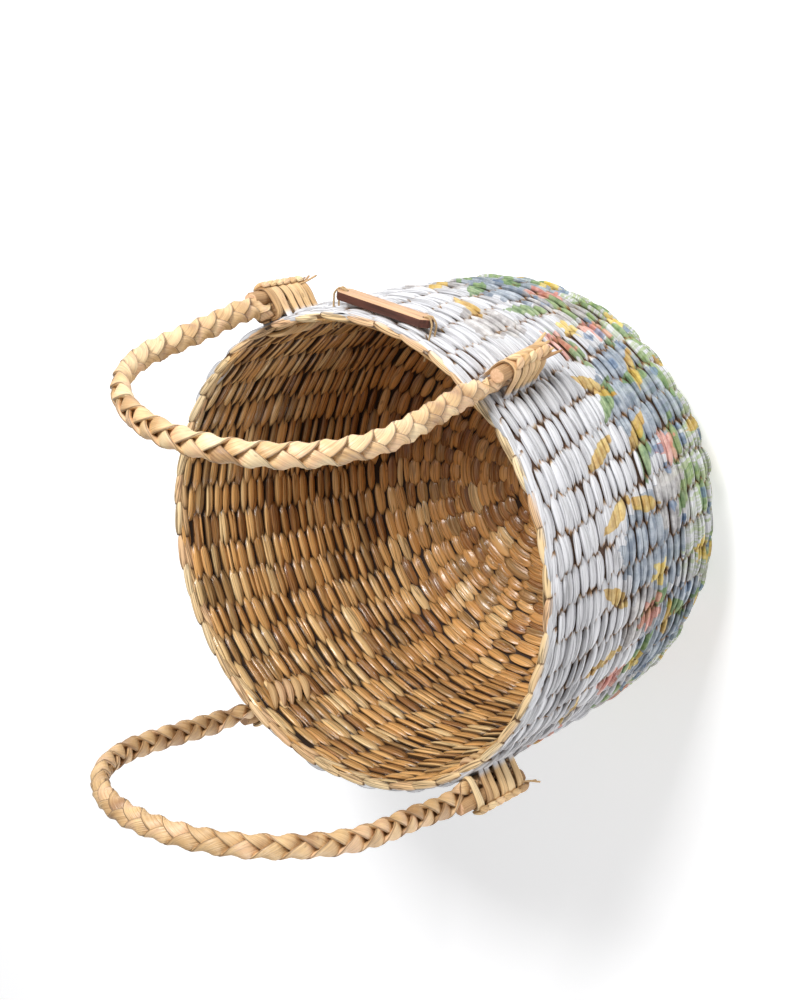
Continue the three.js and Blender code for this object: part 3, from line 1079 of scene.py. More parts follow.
@dataclass
class Weave:
    """The wall and the base: strand after strand wound in a spiral, over and under the stakes.

    Attributes:
        row: how far the spiral climbs in a turn.
        zones: how many stakes there are, from which radius on.
        core: thickness of the middle sheet, which is coloured as painted shade.
        tone_run: the chance that a new strand begins at a stake.
        kinds: the shares of the kinds of float.
        rim_inset: how far the rows under the border are pulled in, and over what length.
        base_darkening: how much darker the middle of the base is, and where that ends.
    """

    shape: BasketShape
    row: float = 4.15 * MM
    thick: float = 4.0 * MM
    zones: tuple[tuple[int, float], ...] = ((11, 0.008), (23, 0.036), (45, 0.080))
    stake_width: float = 4.5 * MM
    stake_thick: float = 2.2 * MM
    core: float = 2.6 * MM
    tone_run: float = 0.16
    kinds: tuple[float, ...] = (0.36, 0.34, 0.11, 0.19)
    rim_inset: tuple[float, float] = (1.4 * MM, 9 * MM)
    base_darkening: tuple[float, float] = (0.36, 0.21)
    seed: int = 11
    heaps: dict[str, Heap] = field(default_factory=dict)

    @property
    def top(self) -> float:
        """Where the weave ends under the border."""
        return self.shape.along_at(self.shape.height - 4 * MM)

    def leaf(self, crease: float) -> Shape:
        """Models a strand's float over a stake, drawn in at both ends where it dives into the wall.

        Args:
            crease: how deep a fold runs along it.

        Returns:
            The float as a shape that is copied.
        """
        return RodModel(
            sides=8,
            rings=9,
            width=lambda x: max(math.cos(math.pi / 2 * min(abs(x) / 0.95, 1) ** 1.8), 0.05),
            thick=lambda x: 0.35 + 0.65 * (1 - abs(x) ** 2.0),
            crease=crease,
            square=1.16,
        ).model()

    def tones(self, random: Random, count: int) -> Array:
        """Draws tones along the spiral, where each strand runs past several stakes.

        Args:
            random: what they are drawn from.
            count: how many floats there are.

        Returns:
            A tone for each float.
        """
        fresh = random.beta(2.1, 1.6, count)
        keep = random.random(count) > self.tone_run
        tones = np.empty(count)
        for i in range(count):
            tones[i] = tones[i - 1] if i and keep[i] else fresh[i]
        return np.clip(tones + random.normal(0, 0.10, count), 0, 1)

    def lay(self, form: Float, side: Side, angle: Array, along: Array, pitch: float,
            random: Random) -> Array:
        """The points of some floats.

        Args:
            form: what they are like.
            side: the face of the weave that they lie on.
            angle: where each crosses its stake.
            along: where its row is.
            pitch: the angle between the stakes there.
            random: for the hand-made unevenness.

        Returns:
            Floats by points by 3.
        """
        count = len(angle)
        x, y, z = form.leaf.points.T
        face = FACES[side]

        def vary(size: float, middle: float = 0.0) -> Array:
            """A number for each float, spread about a middle value."""
            return random.normal(middle, size, count)[:, None]

        width = face.width * form.share * np.clip(vary(0.08, 1.0), face.least, 1.2)
        thick = self.thick * np.clip(vary(0.12, 1.0), 0.7, 1.25)
        inset, length = self.rim_inset
        near_rim = np.clip((along - self.top) / length + 1, 0, 1)[:, None]
        rise = self.shape.weave / 2 - self.thick / 2 - inset * near_rim
        lean = vary(0.40 * MM, 0.55 * MM)
        bow = vary(0.45 * MM)
        hook = vary(0.45 * MM)
        tilt = vary(0.12, face.tilt)
        reach = face.reach * np.clip(vary(0.05, 1.0), 0.88, 1.12)
        turn = angle[:, None] + x * pitch * reach / 2 + vary(0.05) * pitch
        across = along[:, None] + form.aside * face.width + y * width / 2 + lean * x
        across = across + bow * (1 - x**2) + hook * x**3 + vary(0.35 * MM)
        across = np.minimum(across, self.top + 3 * MM)
        out = rise * (1 - np.abs(x) ** 3) + z * thick / 2 + y * tilt * width / 2
        points = self.shape.place(turn, across, side.value * (out + form.raised + vary(0.25 * MM)))
        points[..., 2] = np.maximum(points[..., 2], CLEAR)
        return points

    def heap_for(self, side: Side, along: float) -> Heap:
        """Finds the piece that a float belongs to.

        Args:
            side: the face that it lies on.
            along: where its row is.

        Returns:
            The piece's heap.
        """
        limits = (("base", self.shape.flat), ("foot", self.shape.foot_top), ("wall", math.inf))
        place = next(name for name, limit in limits if along < limit)
        name = f"{place}_weave_{side.name.lower()}"
        return self.heaps.setdefault(name, Heap(name))

    def forms(self) -> list[Float]:
        """Models the forms of a float: round, creased, split in two, and with one edge folded over.

        Returns:
            The forms, by kind.
        """
        smooth, creased = self.leaf(0.0), self.leaf(0.34)
        return [
            Float(smooth, 0), Float(creased, 1),
            Float(smooth, 2, 0.55, -0.24), Float(creased, 2, 0.58, 0.24, 0.3 * MM),
            Float(smooth, 3, 0.86, -0.08), Float(smooth, 3, 0.30, 0.36, 0.35 * MM),
        ]

    def build_floats(self) -> None:
        """Lays every float of the spiral, inside and outside."""
        random = np.random.default_rng(self.seed)
        forms = self.forms()
        darker_by, fresh = self.base_darkening
        limits = [start for _, start in self.zones[1:]] + [self.top]
        for (stakes, start), limit in zip(self.zones, limits):
            pitch = 2 * math.pi / stakes
            count = int((limit - start) / self.row * stakes)
            number = np.arange(count)
            along = start + self.row * number / stakes
            tones = self.tones(random, count)
            kind = random.choice(len(self.kinds), count, p=self.kinds)
            for side, place, form in product(Side, ("base", "foot", "wall"), forms):
                some = np.array([self.heap_for(side, a).name.startswith(place) for a in along])
                some &= (number % 2 == (side is Side.INSIDE)) & (kind == form.kind)
                if not some.any():
                    continue
                points = self.lay(form, side, number[some] * pitch, along[some], pitch, random)
                x, _, z = form.leaf.points.T
                face = FACES[side]
                # tip: painted shade at each float's ends and underside; on the outside it also
                # marks where the paint misses
                tip = np.maximum(np.abs(x) ** face.point, face.under * (1 - z))
                # darker towards the middle of the base
                tone = tones[some] - darker_by * np.clip(1 - along[some] / fresh, 0, 1)
                tone = np.clip(tone + random.normal(0, 0.13, len(points)), 0.09, 1)
                heap = self.heap_for(side, float(along[some][0]))
                heap.add(form.leaf, points, tone=tone, tip=np.tile(tip, (len(points), 1)))

    def build_stakes(self) -> Heap:
        """Lays the stakes, from the base to the border.

        Returns:
            The heap of all of them.
        """
        rod = RodModel(sides=6, rings=40, width=lambda x: 1, thick=lambda x: 1, length=330).model()
        heap = Heap("stakes")
        x, y, z = rod.points.T
        for i in range(self.shape.stakes):
            start = self.zones[-1][1] if i % 2 else self.zones[-2][1]
            along = start + (self.top - start) * (x + 1) / 2
            spread = y * self.stake_width / 2 / np.minimum(along, self.shape.rim_radius)
            angle = i * self.shape.pitch + spread
            points = self.shape.place(angle, along, z * self.stake_thick / 2)
            # tip 0.6 darkens the stakes a little all over: painted shade deep in the weave
            heap.add_one(rod, points, tone=0.2, tip=0.6)
        return heap

    def build_core(self) -> Heap:
        """Fills the middle of the weave, where the strands cross, with a sheet coloured as painted
        shade.

        Returns:
            The heap with the one sheet.
        """
        around = 2 * self.shape.stakes
        angle = 2 * math.pi * np.arange(around) / around
        along = np.linspace(1 * MM, self.top - 1 * MM, 60)
        line = [(a, self.core / 2) for a in along] + [(a, -self.core / 2) for a in along[::-1]]
        level = np.ones(around)
        rings = np.array([self.shape.place(angle, level * a, level * out) for a, out in line])
        faces = ring_faces(len(line), around, closed=True)
        shape = Shape(rings.reshape(-1, 3), faces, [(0.0, 0.0)] * (4 * len(faces)))
        heap = Heap("weave_core")
        heap.add_one(shape, bare=np.repeat([out > 0 for _, out in line], around))
        return heap

    def build(self, natural: Material, painted: Material, hollow: Material) -> None:
        """Builds and dresses the weave.

        Args:
            natural: the finish of the inside and of the underside.
            painted: the finish of the outside.
            hollow: the finish of the middle sheet, painted shade.
        """
        self.build_floats()
        for name, heap in self.heaps.items():
            outside = name.endswith("outside") and not name.startswith("base")
            node = "base_weave" if name.startswith("base") else "wall_weave"
            finish = (painted, "painted_weave") if outside else (natural, "natural_weave")
            dress(heap.build(), *finish, node)
        dress(self.build_stakes().build(), natural, "natural_weave", "stake_frame")
        dress(self.build_core().build(), hollow, "natural_weave", "stake_frame")


@dataclass
class RimBorder:
    """The border that closes the weave: strands from stake to stake, each tucked under the next.

    Attributes:
        lap: the length of a strand, in steps from stake to stake.
        lower_lap: the same for the strands under the border.
        sag: how far a strand bends inwards between its stakes.
        tuck: how far its ends go down.
        lower_drop: from the border's middle down to the strands under it.
        lower_half: half their width and half their height.
    """

    shape: BasketShape
    lap: float = 1.16
    lower_lap: float = 1.32
    width: float = 5.0 * MM
    thick: float = 5.0 * MM
    sag: float = 0.8 * MM
    tuck: float = 0.9 * MM
    lower_drop: float = 3.6 * MM
    lower_half: tuple[float, float] = (1.7 * MM, 3.0 * MM)
    seed: int = 5

    def build(self, painted: Material) -> None:
        """Builds and dresses the border.

        Args:
            painted: its finish, which is bare on its inside and top.
        """
        random = np.random.default_rng(self.seed)
        rod = RodModel(
            sides=10,
            rings=11,
            width=lambda x: 1 - 0.50 * abs(x) ** 4,
            thick=lambda x: 1 - 0.35 * abs(x) ** 4,
        ).model()
        x, y, z = rod.points.T
        count = self.shape.stakes
        angle = (np.arange(count) + 0.5)[:, None] * self.shape.pitch
        middle = self.shape.along_at(self.shape.height - self.thick / 2)

        def vary(size: float) -> Array:
            """A number for each strand, spread about zero."""
            return random.normal(0, size, count)[:, None]

        turn = angle + x * self.shape.pitch * self.lap / 2 + vary(0.05) * self.shape.pitch
        out = 0.4 * MM - self.sag * (1 - x**2) + 0.5 * MM * x
        out = out + y * self.width / 2 + vary(0.25 * MM)
        along = middle + z * self.thick / 2 - self.tuck * x**2 + 0.6 * MM * x + vary(0.2 * MM)
        heap = Heap("rim_border_strands")
        bare = np.clip(1.05 - (out - 1.4 * MM) / (1.8 * MM), 0, 1)
        # tip darkens each strand's ends: painted shade where it tucks under the next
        heap.add(rod, self.shape.place(turn, along, out), tone=0.55 + random.random(count) * 0.45,
                 tip=np.tile(0.95 * np.abs(x) ** 6, (count, 1)), bare=bare)
        wide, high = self.lower_half
        for side in Side:
            turn = angle + x * self.shape.pitch * self.lower_lap / 2 + vary(0.06) * self.shape.pitch
            out = side.value * (1.3 * MM + 0.6 * MM * x + y * wide + vary(0.25 * MM))
            along = middle - self.lower_drop + z * high - 0.8 * MM * x + vary(0.3 * MM)
            # tip darkens the lower strands, most at their ends: painted shade under the border
            tip = np.tile(0.45 + 0.45 * np.abs(x) ** 3, (count, 1))
            heap.add(rod, self.shape.place(turn, along, out), tone=0.3 + random.random(count) * 0.6,
                     tip=tip, bare=float(side is Side.INSIDE))
        dress(heap.build(), painted, "natural_weave", "rim_border")


@dataclass(frozen=True)
class HandleEnd:
    """Where one end of a handle is lashed to the wall.

    Attributes:
        name: of the end, as the solids have it.
        stake: the stake that it is tied to, counted from the front.
        stand: how far the cut reed stands above the rim.
        bound: from the rim down to the highest turn that binds the tail.
        peg_length: of the reed.
    """

    name: str
    stake: int
    stand: float
    bound: float
    peg_length: float = 54 * MM


FRONT_LEFT = HandleEnd("front_left", -4, -7 * MM, 20 * MM)
FRONT_RIGHT = HandleEnd("front_right", 4, 11 * MM, 10 * MM)
BACK_RIGHT = HandleEnd("back_right", 19, -7 * MM, 20 * MM)
BACK_LEFT = HandleEnd("back_left", 28, 11 * MM, 10 * MM)


@dataclass
class Handle:
    """A stiff three-strand braid from one lashed end to the other.

    Attributes:
        sway: how far the loop is shifted along its width.
        twists: how far the braid is turned about itself on one leg, at its top and on the other.
        paleness: of the palest strands; lower on the back handle, which is darkened as painted
            shade.
        seat: from the basket's axis to the tails' inner face.
        stand: from the rim up to the bends.
        tail_short: how much higher a tail ends than its reed.
        ease: what the solid's rounded bend is larger by.
        settle: the height over which the flat tail opens to the round braid.
        wave: the length of one turn of the plait.
        swing: how far the strands go aside.
        dip: how far they go over and under each other.
        tones: the number of tones along a strand.
        core: half the width and the thickness of the middle, darkened as painted shade.
    """

    shape: BasketShape
    body: str
    left: HandleEnd
    right: HandleEnd
    sway: float
    twists: tuple[float, float, float]
    paleness: float
    seat: float = 151.07 * MM
    stand: float = 11 * MM
    tail_thick: float = 8 * MM
    tail_short: float = 3 * MM
    braid: float = 14 * MM
    ease: float = 0.6 * MM
    lean_in: float = math.radians(6)
    settle: float = 18 * MM
    wave: float = 47 * MM
    swing: float = 4.3 * MM
    dip: float = 2.6 * MM
    strand_width: float = 10.4 * MM
    strand_thick: float = 3.6 * MM
    sides: int = 12
    step: float = 2.0 * MM
    tones: int = 60
    core: tuple[float, float] = (4.3 * MM, 0.8 * MM)

    def bend(self, end: HandleEnd) -> Array:
        """The point that the handle turns about at one end."""
        half = self.braid / 2 + self.ease
        return self.shape.beside(end.stake, 0.0, self.seat + half, self.stand + half)

    def tail(self, end: HandleEnd) -> Array:
        """Points up one tail, from its cut end to below the bend."""
        rise = np.linspace(end.stand - end.peg_length + self.tail_short, 0, 4)
        return self.shape.beside(end.stake, 0.0, self.seat + self.tail_thick / 2, rise)

    def arch(self) -> tuple[Array, Array]:
        """The loop between the bends, as the solid has it.

        Returns:
            Points along it, and the direction square to its plane.
        """
        left, right = self.bend(self.left), self.bend(self.right)
        middle = (left + right) / 2
        across = (right - left) / 2
        half = float(np.linalg.norm(across))
        across = across / half
        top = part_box(self.body)[1].z - self.braid / 2
        inward = -middle * np.array([1, 1, 0])
        inward /= np.linalg.norm(inward)
        rise = UP * math.cos(self.lean_in) + inward * math.sin(self.lean_in)
        leg = (top - middle[2]) / math.cos(self.lean_in) - half
        turn = np.linspace(math.pi, 0, 15)
        u = np.concatenate([[-half, -half], half * np.cos(turn), [half, half]])
        v = np.concatenate([[0, leg / 2], leg + half * np.sin(turn), [leg / 2, 0]])
        share = np.clip(v / leg, 0, 1)
        u = u + self.sway * share**2 * (3 - 2 * share)
        points = middle + u[:, None] * across + v[:, None] * rise
        return points, np.cross(across, rise)

    def build(self, straw: Material, seed: int) -> None:
        """Plaits the braid from tail to tail.

        Args:
            straw: its finish.
            seed: for the strands' tones.
        """
        random = np.random.default_rng(seed)
        loop, square = self.arch()
        route = np.vstack([self.tail(self.left), loop, self.tail(self.right)[::-1]])
        path = smooth_path(route, self.step)
        count = len(path)
        travel = self.step * np.arange(count)
        ahead = np.gradient(path, axis=0)
        ahead /= np.linalg.norm(ahead, axis=1)[:, None]
        square = np.tile(square, (count, 1))
        square -= (square * ahead).sum(1)[:, None] * ahead
        square /= np.linalg.norm(square, axis=1)[:, None]
        beside = np.cross(ahead, square)
        loose = np.clip((path[:, 2] - self.shape.height) / self.settle, 0, 1)
        twist = np.interp(travel / travel[-1], (0.22, 0.5, 0.78), self.twists) * loose
        near, far = np.cos(twist)[:, None], np.sin(twist)[:, None]
        square, beside = near * square + far * beside, near * beside - far * square
        radial = self.tail_thick / self.braid * (1 - loose) + loose
        heap = Heap(f"{self.body}_braid")
        for strand in range(3):
            phase = 2 * math.pi * (travel / self.wave + strand / 3)
            side = self.swing * np.sin(phase) * radial
            depth = self.dip * np.sin(2 * phase)
            middle = path + side[:, None] * square + depth[:, None] * beside
            fold = (np.cos(phase) - 1) * math.pi / 2
            wide = np.cos(fold)[:, None] * square + np.sin(fold)[:, None] * beside
            puff = 1 + 0.06 * np.sin(travel / (17 * MM) + strand * 2)
            shape = sweep(middle, wide, self.strand_width / 2 * puff * (0.75 + 0.25 * radial),
                          self.strand_thick / 2 * radial, self.sides, 0.10)
            places = np.linspace(0, travel[-1], self.tones)
            tone = np.interp(travel, places, random.beta(0.8, 0.7, self.tones))
            # tip darkens each strand's edges: painted shade where the strands tuck under each other
            heap.add_one(shape, tone=np.repeat(self.paleness * tone, self.sides),
                         tip=np.tile(0.85 * edges(self.sides), count))
        core_wide, core_thick = self.core
        # a dark core with tone 0.1 and tip 0.75: painted shade in the gaps of the plait
        heap.add_one(sweep(path, square, core_wide * radial, core_thick, 8), tone=0.1, tip=0.75)
        piece = heap.build()
        piece.data.materials.append(straw)
        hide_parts(self.body, f"{self.left.name}_tail", f"{self.right.name}_tail")
        bend_height = float(self.bend(self.left)[2])
        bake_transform(piece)
        LOG.info("%s: %d faces", piece.name, len(piece.data.polygons))


@dataclass
class Lashing:
    """What binds a handle's tail to the wall: a cut reed, flat wraps and a stitched ridge.

    Attributes:
        peg_radius: from the basket's axis to the reed's.
        peg_sides: the ribs round the reed.
        length: that the turns which bind the tail take up.
        side: from the reed's middle to where a wrap goes into the wall.
        into_wall: wraps below this height, from the rim, go into the wall.
        knot: half the length, width and thickness of a strand in the ridge.
        knot_lean: how far it leans.
        loop: half the length, width and thickness of a loop inside.
        frays: where the loose ends below the wraps are, to the right of the reed's middle.
    """

    shape: BasketShape
    end: HandleEnd
    peg: float = 9 * MM
    peg_radius: float = 163.87 * MM
    peg_sides: int = 20
    length: float = 28 * MM
    turns: int = 5
    strand: float = 6.8 * MM
    strand_thick: float = 2.2 * MM
    sides: int = 10
    side: float = 8.6 * MM
    into_wall: float = -6 * MM
    knot: tuple[float, float, float] = (6.0 * MM, 2.9 * MM, 1.9 * MM)
    knot_lean: float = math.radians(24)
    loop: tuple[float, float, float] = (11 * MM, 3.2 * MM, 2.0 * MM)
    frays: tuple[float, ...] = (-5.5 * MM, -3.0 * MM, 1.5 * MM, 5.0 * MM)

    @property
    def gap(self) -> float:
        """From one wrap to the next."""
        return self.length / (self.turns - 1)

    @property
    def outer(self) -> float:
        """From the basket's axis to the outside of the wraps."""
        return self.peg_radius + self.peg / 2 + self.strand_thick * 1.1

    @property
    def low(self) -> float:
        """The lowest wrap, from the rim."""
        return -self.end.bound - self.length

    def heights(self) -> Array:
        """Where the wraps are, from the rim, up to the reed's cut end."""
        return np.arange(self.low, self.end.stand - self.peg, self.gap)

    def at(self, across: Array, radius: Array, rise: Array) -> Array:
        """Points beside the stake that the handle's end is tied to."""
        return self.shape.beside(self.end.stake, across, radius, rise)

    def build_peg(self, reed: Material) -> None:
        """Models the cut reed.

        Args:
            reed: its finish.
        """
        sides, half = self.peg_sides, self.end.peg_length / 2
        rod = primitive("cylinder", f"{self.end.name}_cut_reed", vertices=sides,
                        radius=self.peg / 2, depth=self.end.peg_length)
        pick(rod, Pick.EDGES, lambda a, b: abs(a.z - b.z) > half)
        bpy.ops.mesh.subdivide(number_cuts=11)
        pick(rod, Pick.FACES, lambda middle, normal: abs(normal.z) > 0.9)
        bpy.ops.mesh.inset(thickness=0.5 * MM, depth=0.25 * MM)
        bpy.ops.mesh.inset(thickness=1.2 * MM, depth=0)
        bpy.ops.object.mode_set(mode="OBJECT")
        mesh = rod.data
        random = np.random.default_rng(abs(self.end.stake))
        ribs = random.normal(0, 0.12 * MM, sides)
        for point in mesh.vertices:
            turn = math.atan2(point.co.y, point.co.x)
            rib = ribs[round(turn / (2 * math.pi) * sides) % sides]
            swell = 1 + (rib / self.peg) * 2 + 0.03 * math.sin(point.co.z / (9 * MM))
            point.co.x *= swell
            point.co.y *= swell
        bare = mesh.attributes.new("bare", "FLOAT", "POINT")
        cut = [float(p.co.z > half and math.hypot(p.co.x, p.co.y) < self.peg * 0.47)
               for p in mesh.vertices]
        bare.data.foreach_set("value", cut)
        for layer in mesh.uv_layers.active.uv:
            layer.vector = (layer.vector.y * 60, layer.vector.x * 90)
        angle = self.end.stake * self.shape.pitch
        centre = self.at(0.0, self.peg_radius, self.end.stand - half)
        turn = Matrix.Rotation(angle, 4, "Z") @ Matrix.Rotation(-self.shape.end_lean, 4, "Y")
        mesh.transform(Matrix.Translation(Vector(centre)) @ turn)
        bpy.ops.object.shade_smooth_by_angle(angle=math.radians(40))
        dress(rod, reed, "reed", f"{self.end.name}_peg")

    def wrap(self, height: float, lean: float, width: float) -> Shape:
        """One flat wrap, from the wall over the reed and back to the wall.

        Args:
            height: of its middle, from the rim.
            lean: how much its right end is higher than its left.
            width: of the strand over the reed.

        Returns:
            The wrap.
        """
        over = self.peg / 2 + self.strand_thick / 2
        side, face = self.side, self.shape.rim_radius
        if height > self.into_wall:
            foot = [(-1 * MM, face), (-side * 0.6, face + 0.4 * MM), (-side * 0.86, face + 4 * MM)]
        else:
            foot = [(-side, face - 5 * MM), (-side, face - 1 * MM), (-side * 0.86, face + 5 * MM)]
        ring = foot + [
            (-over * 1.12, self.peg_radius - 1 * MM), (-over * 0.72, self.peg_radius + over * 0.72),
            (0.0, self.peg_radius + over),
        ]
        ring += [(-across, radius) for across, radius in ring[-2::-1]]
        across, radius = np.array(ring).T
        slope = lean * across / side / 2
        path = smooth_path(self.at(across, radius, height + slope), STRAND_STEP)
        t = np.linspace(-1, 1, len(path))
        half = width / 2 * (1 - 0.40 * np.abs(t) ** 1.5)
        return sweep(path, UP, half, self.strand_thick / 2, self.sides, 0.15)

    def build_wraps(self, heap: Heap, random: Random) -> None:
        """Winds the flat wraps, bare over the reed and painted where they go into the wall.

        Args:
            heap: what they are added to.
            random: for the hand-made unevenness.
        """
        for height in self.heights():
            shape = self.wrap(height + random.normal(0, 0.5 * MM),
                              self.gap * random.uniform(0.2, 0.9),
                              self.strand * random.uniform(0.88, 1.14))
            rings = len(shape.points) // self.sides
            root = np.abs(np.linspace(-1, 1, rings)) * (height < self.into_wall)
            # tip darkens each wrap's edges: painted shade between the wraps
            heap.add_one(shape, tone=random.uniform(0.1, 0.9),
                         tip=np.tile(0.9 * edges(self.sides), rings),
                         bare=np.repeat(np.clip((0.80 - root) / 0.10, 0, 1), self.sides))

    def build_ridge(self, heap: Heap, random: Random, rod: Shape) -> None:
        """Stitches the ridge along the reed, with two leaning strands at each wrap.

        Args:
            heap: what they are added to.
            random: for the hand-made unevenness.
            rod: the short strand that is copied.
        """
        x, y, z = rod.points.T
        long, wide, thick = self.knot
        for height in self.heights() - self.gap * 0.4:
            for way in (-1, 1):
                lean = way * self.knot_lean
                up = x * long * math.cos(lean) - y * wide * math.sin(lean)
                across = x * long * math.sin(lean) + y * wide * math.cos(lean) + way * 1.5 * MM
                bulge = z * thick + (1.2 * MM) * np.cos(x * math.pi / 2) + x * 1.0 * MM
                bulge = bulge - across**2 / (2 * self.peg * 0.62)
                # tip darkens each ridge strand's sides: painted shade between the stitches
                heap.add_one(rod, self.at(across, self.outer + bulge, height + up),
                             tone=random.uniform(0.1, 0.9), tip=0.8 * np.abs(y) ** 3, bare=1.0)

    def build_loops(self, heap: Heap, random: Random, rod: Shape) -> None:
        """Lays the short leaning loops on the inside of the wall.

        Args:
            heap: what they are added to.
            random: for the hand-made unevenness.
            rod: the short strand that is copied.
        """
        x, y, z = rod.points.T
        long, wide, thick = self.loop
        inside = -(self.shape.weave / 2 + 1.4 * MM)
        for height in self.heights()[self.heights() < -8 * MM]:
            turn = self.end.stake * self.shape.pitch + x * long / self.shape.rim_radius
            along = self.shape.along_at(self.shape.height + height) + x * 4.5 * MM + y * wide
            out = inside - z * thick + 3.0 * MM * x**2
            heap.add_one(rod, self.shape.place(turn, along, out),
                         tone=random.uniform(0.3, 0.9), bare=1.0)

    def build_frays(self, heap: Heap, random: Random) -> None:
        """Lets the strands' loose ends hang out below the lowest wrap.

        Args:
            heap: what they are added to.
            random: for the hand-made unevenness.
        """
        aside = self.at(1.0, 0.0, 0.0) - self.at(0.0, 0.0, 0.0)
        for across in self.frays:
            spread, flare, drop = random.uniform((0.8, 1.0, 8.0), (1.9, 4.5, 15.0))
            path = smooth_path(self.at(
                np.array([0.7, 0.9, spread]) * across,
                self.outer + np.array([-3.2, -2.2, flare - 2]) * MM,
                self.low + np.array([4.0, -4.0, -drop]) * MM,
            ), STRAND_STEP)
            shape = sweep(path, aside, np.linspace(1.9, 0.7, len(path)) * MM, 0.6 * MM, 8)
            heap.add_one(shape, tone=random.uniform(0.0, 0.5),
                         tip=random.uniform(0.3, 0.7), bare=1.0)

    def build(self, straw: Material, reed: Material) -> None:
        """Builds and dresses the reed, the wraps, the ridge, the loops inside and the loose ends.

        Args:
            straw: the finish of the wraps.
            reed: the finish of the reed.
        """
        self.build_peg(reed)
        random = np.random.default_rng(100 + abs(self.end.stake))
        heap = Heap(f"{self.end.name}_lashing_strand")
        self.build_wraps(heap, random)
        rod = RodModel(
            sides=10,
            rings=9,
            width=lambda x: max(math.cos(math.pi * x / 2) ** 0.5, 0.3),
            thick=lambda x: 0.5 + 0.5 * math.cos(math.pi * x / 2),
            crease=0.2,
            length=11,
        ).model()
        self.build_ridge(heap, random, rod)
        self.build_loops(heap, random, rod)
        self.build_frays(heap, random)
        dress(heap.build(), straw, "braid", f"{self.end.name}_lashing")


@dataclass
class Tag:
    """The wooden tag and the twine that ties it to the wall."""

    shape: BasketShape
    length: float = 70 * MM
    width: float = 13 * MM
    thick: float = 5 * MM
    clip: float = 4 * MM
    hole: float = 3 * MM
    hole_inset: float = 5 * MM
    twine: float = 1.2 * MM

    def build_bar(self, wood: Material) -> None:
        """Models the tag: a bar with clipped corners, a hole at each end and eased edges.

        Args:
            wood: its finish.
        """
        low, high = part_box("tag_plate")
        centre = (low + high) / 2
        bar = primitive("cube", "tag_bar", size=1, location=centre)
        bar.scale = (self.length, self.thick, self.width)
        bpy.ops.object.transform_apply(location=True, rotation=False, scale=True)
        pick(bar, Pick.EDGES, lambda a, b: abs(a.y - b.y) > self.thick / 2)
        bpy.ops.mesh.bevel(offset=self.clip, segments=1, affect="EDGES")
        bpy.ops.object.mode_set(mode="OBJECT")
        for side in (-1, 1):
            place = (centre.x + side * (self.length / 2 - self.hole_inset), centre.y, centre.z)
            drill = primitive("cylinder", "drill", vertices=24, radius=self.hole / 2,
                              depth=4 * self.thick, location=place, rotation=(math.pi / 2, 0, 0))
            deselect()
            bar.select_set(True)
            bpy.context.view_layer.objects.active = bar
            cut = bar.modifiers.new("hole", "BOOLEAN")
            cut.operation = "DIFFERENCE"
            cut.object = drill
            bpy.ops.object.modifier_apply(modifier=cut.name)
            bpy.data.objects.remove(drill)
        ease = bar.modifiers.new("eased edges", "BEVEL")
        ease.width = 0.3 * MM
        ease.segments = 2
        ease.limit_method = "ANGLE"
        bpy.ops.object.modifier_apply(modifier=ease.name)
        faces = np.array([abs(face.normal.y) > 0.7 for face in bar.data.polygons], float)
        bare = bar.data.attributes.new("bare", "FLOAT", "FACE")
        bare.data.foreach_set("value", faces)
        bpy.ops.object.shade_smooth_by_angle(angle=math.radians(30))
        dress(bar, wood, "tag_wood", "tag_plate")

    def build_tie(self, side: int, twine: Material) -> None:
        """Ties one end: through the hole, over the tag's end and into the wall.

        Args:
            side: -1 for the left end, 1 for the right one.
            twine: its finish.
        """
        low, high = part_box("tag_plate")
        face, back = -low.y, -high.y
        shift = (low.x + high.x) / 2
        middle = (low.z + high.z) / 2
        hole = self.length / 2 - self.hole_inset
        past = self.length / 2 + 1.9 * MM
        wall = self.shape.rim_radius - 3 * MM
        end = "left" if side < 0 else "right"
        heap = Heap(f"tag_twine_{end}")
        for lane in (-1, 1):
            rise = lane * 1.0 * MM
            route = [
                (hole, back + 0.5 * MM, middle), (hole, face - 0.4 * MM, middle + rise / 2),
                (hole + 2 * MM, face + self.twine * 0.6, middle + rise),
                (self.length / 2 - 0.6 * MM, face + self.twine * 0.6, middle + rise * 1.4),
                (past, (face + back) / 2, middle + rise * 2.0),
                (past, back - 1.5 * MM, middle + rise * 2.3),
                (past - 2 * MM, wall - 16 * MM, middle + rise * 2.4),
            ]
            path = smooth_path(np.array([(shift + side * x, -y, z) for x, y, z in route]), 0.8 * MM)
            heap.add_one(sweep(path, UP, self.twine / 2, self.twine / 2, 8), tone=0.6)
        dress(heap.build(), twine, "twine", f"tag_tie_{end}")

    def build(self, wood: Material, twine: Material) -> None:
        """Builds and dresses the tag and its ties.

        Args:
            wood: the tag's finish.
            twine: the ties' finish.
        """
        self.build_bar(wood)
        for side in (-1, 1):
            self.build_tie(side, twine)


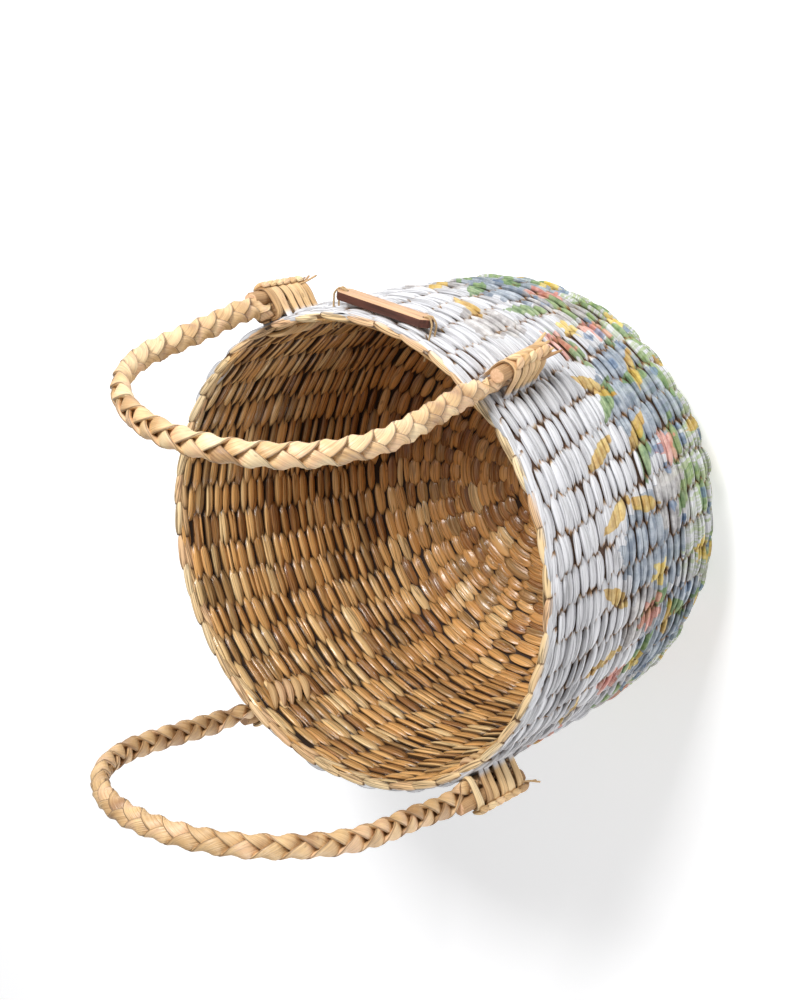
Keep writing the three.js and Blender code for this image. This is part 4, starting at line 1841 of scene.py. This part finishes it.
@dataclass
class Studio:
    """The floor, the lights and the camera."""

    eye: Colour = (-0.6877, -0.4775, 1.0927)
    right: Colour = (-0.7678, -0.1105, -0.6311)
    up: Colour = (0.3136, -0.9238, -0.2198)
    lens: float = 72.0
    sensor: float = 36.0
    target: Colour = (0.0, 0.0, 0.14)

    def build_floor(self) -> None:
        """A wide pale floor that the basket stands on."""
        floor = primitive("plane", "floor", size=12)
        floor.data.materials.append(PaleFloor().make())

    def add_light(self, name: str, towards: Colour, distance: float,
                  size: float, power: float) -> None:
        """One soft square light.

        Args:
            name: of the light.
            towards: the direction from the basket to it.
            distance: from the basket.
            size: of its side.
            power: in watts.
        """
        lamp = bpy.data.lights.new(name, "AREA")
        lamp.size = size
        lamp.energy = power
        obj = bpy.data.objects.new(name, lamp)
        direction = Vector(towards).normalized()
        obj.location = Vector(self.target) + direction * distance
        obj.rotation_euler = direction.to_track_quat("Z", "Y").to_euler()
        bpy.context.scene.collection.objects.link(obj)

    def build_lights(self) -> None:
        """A large key light over the wall's front, a weak fill and a bright room."""
        world = bpy.data.worlds.new("room")
        bpy.context.scene.world = world
        world.use_nodes = True
        room = world.node_tree.nodes["Background"]
        room.inputs["Color"].default_value = (1, 1, 1, 1)
        room.inputs["Strength"].default_value = 0.30
        self.add_light("key", (-0.02, -0.70, 0.72), distance=1.7, size=0.6, power=34)
        self.add_light("fill", (-0.63, 0.72, 0.26), distance=1.8, size=0.8, power=13)

    def build_camera(self) -> None:
        """The camera, rolled so that the basket lies on its side in the picture."""
        data = bpy.data.cameras.new("camera")
        data.lens = self.lens
        data.sensor_width = self.sensor
        camera = bpy.data.objects.new("camera", data)
        right, up = Vector(self.right), Vector(self.up)
        back = right.cross(up)
        turn = Matrix((right, up, back)).transposed()
        camera.matrix_world = Matrix.Translation(Vector(self.eye)) @ turn.to_4x4()
        bpy.context.scene.collection.objects.link(camera)
        bpy.context.scene.camera = camera

    def build(self) -> None:
        """Sets the scene."""
        self.build_floor()
        self.build_lights()
        self.build_camera()
        bpy.context.scene.view_settings.view_transform = "Standard"


def main() -> None:
    """Builds the studio and every piece of the basket."""
    logging.basicConfig(level=logging.INFO, format="%(name)s: %(message)s")
    Studio().build()
    shape = BasketShape()
    natural = Straw("natural_weave", HONEY, lines=0.45, deep=(0.050, 0.020, 0.007)).make()
    painted = PaintedStraw("painted_weave", HONEY).make()
    pale = Straw("pale_braid", PALE, gloss=0.36, lines=0.22, deep=(0.17, 0.085, 0.032)).make()
    reed = CutReed().make()
    Weave(shape).build(natural, painted, Hollow().make())
    RimBorder(shape).build(PaintedStraw("rim_straw", PALE, layers=()).make())
    Handle(shape, "front_handle", FRONT_LEFT, FRONT_RIGHT,
           sway=-7 * MM, twists=(0.5, 0.5, -0.5), paleness=0.95).build(pale, seed=21)
    # the back handle's lower paleness darkens it: painted shade
    Handle(shape, "back_handle", BACK_RIGHT, BACK_LEFT,
           sway=1 * MM, twists=(0.5, -0.5, -0.5), paleness=0.72).build(pale, seed=22)
    lashed = PaintedStraw("lashing_straw", PALE, lines=0.3, layers=()).make()
    for end in (FRONT_LEFT, FRONT_RIGHT, BACK_RIGHT, BACK_LEFT):
        Lashing(shape, end).build(lashed, reed)
    Tag(shape).build(BurntWood().make(), Twine().make())


if __name__ == "__main__":
    main()
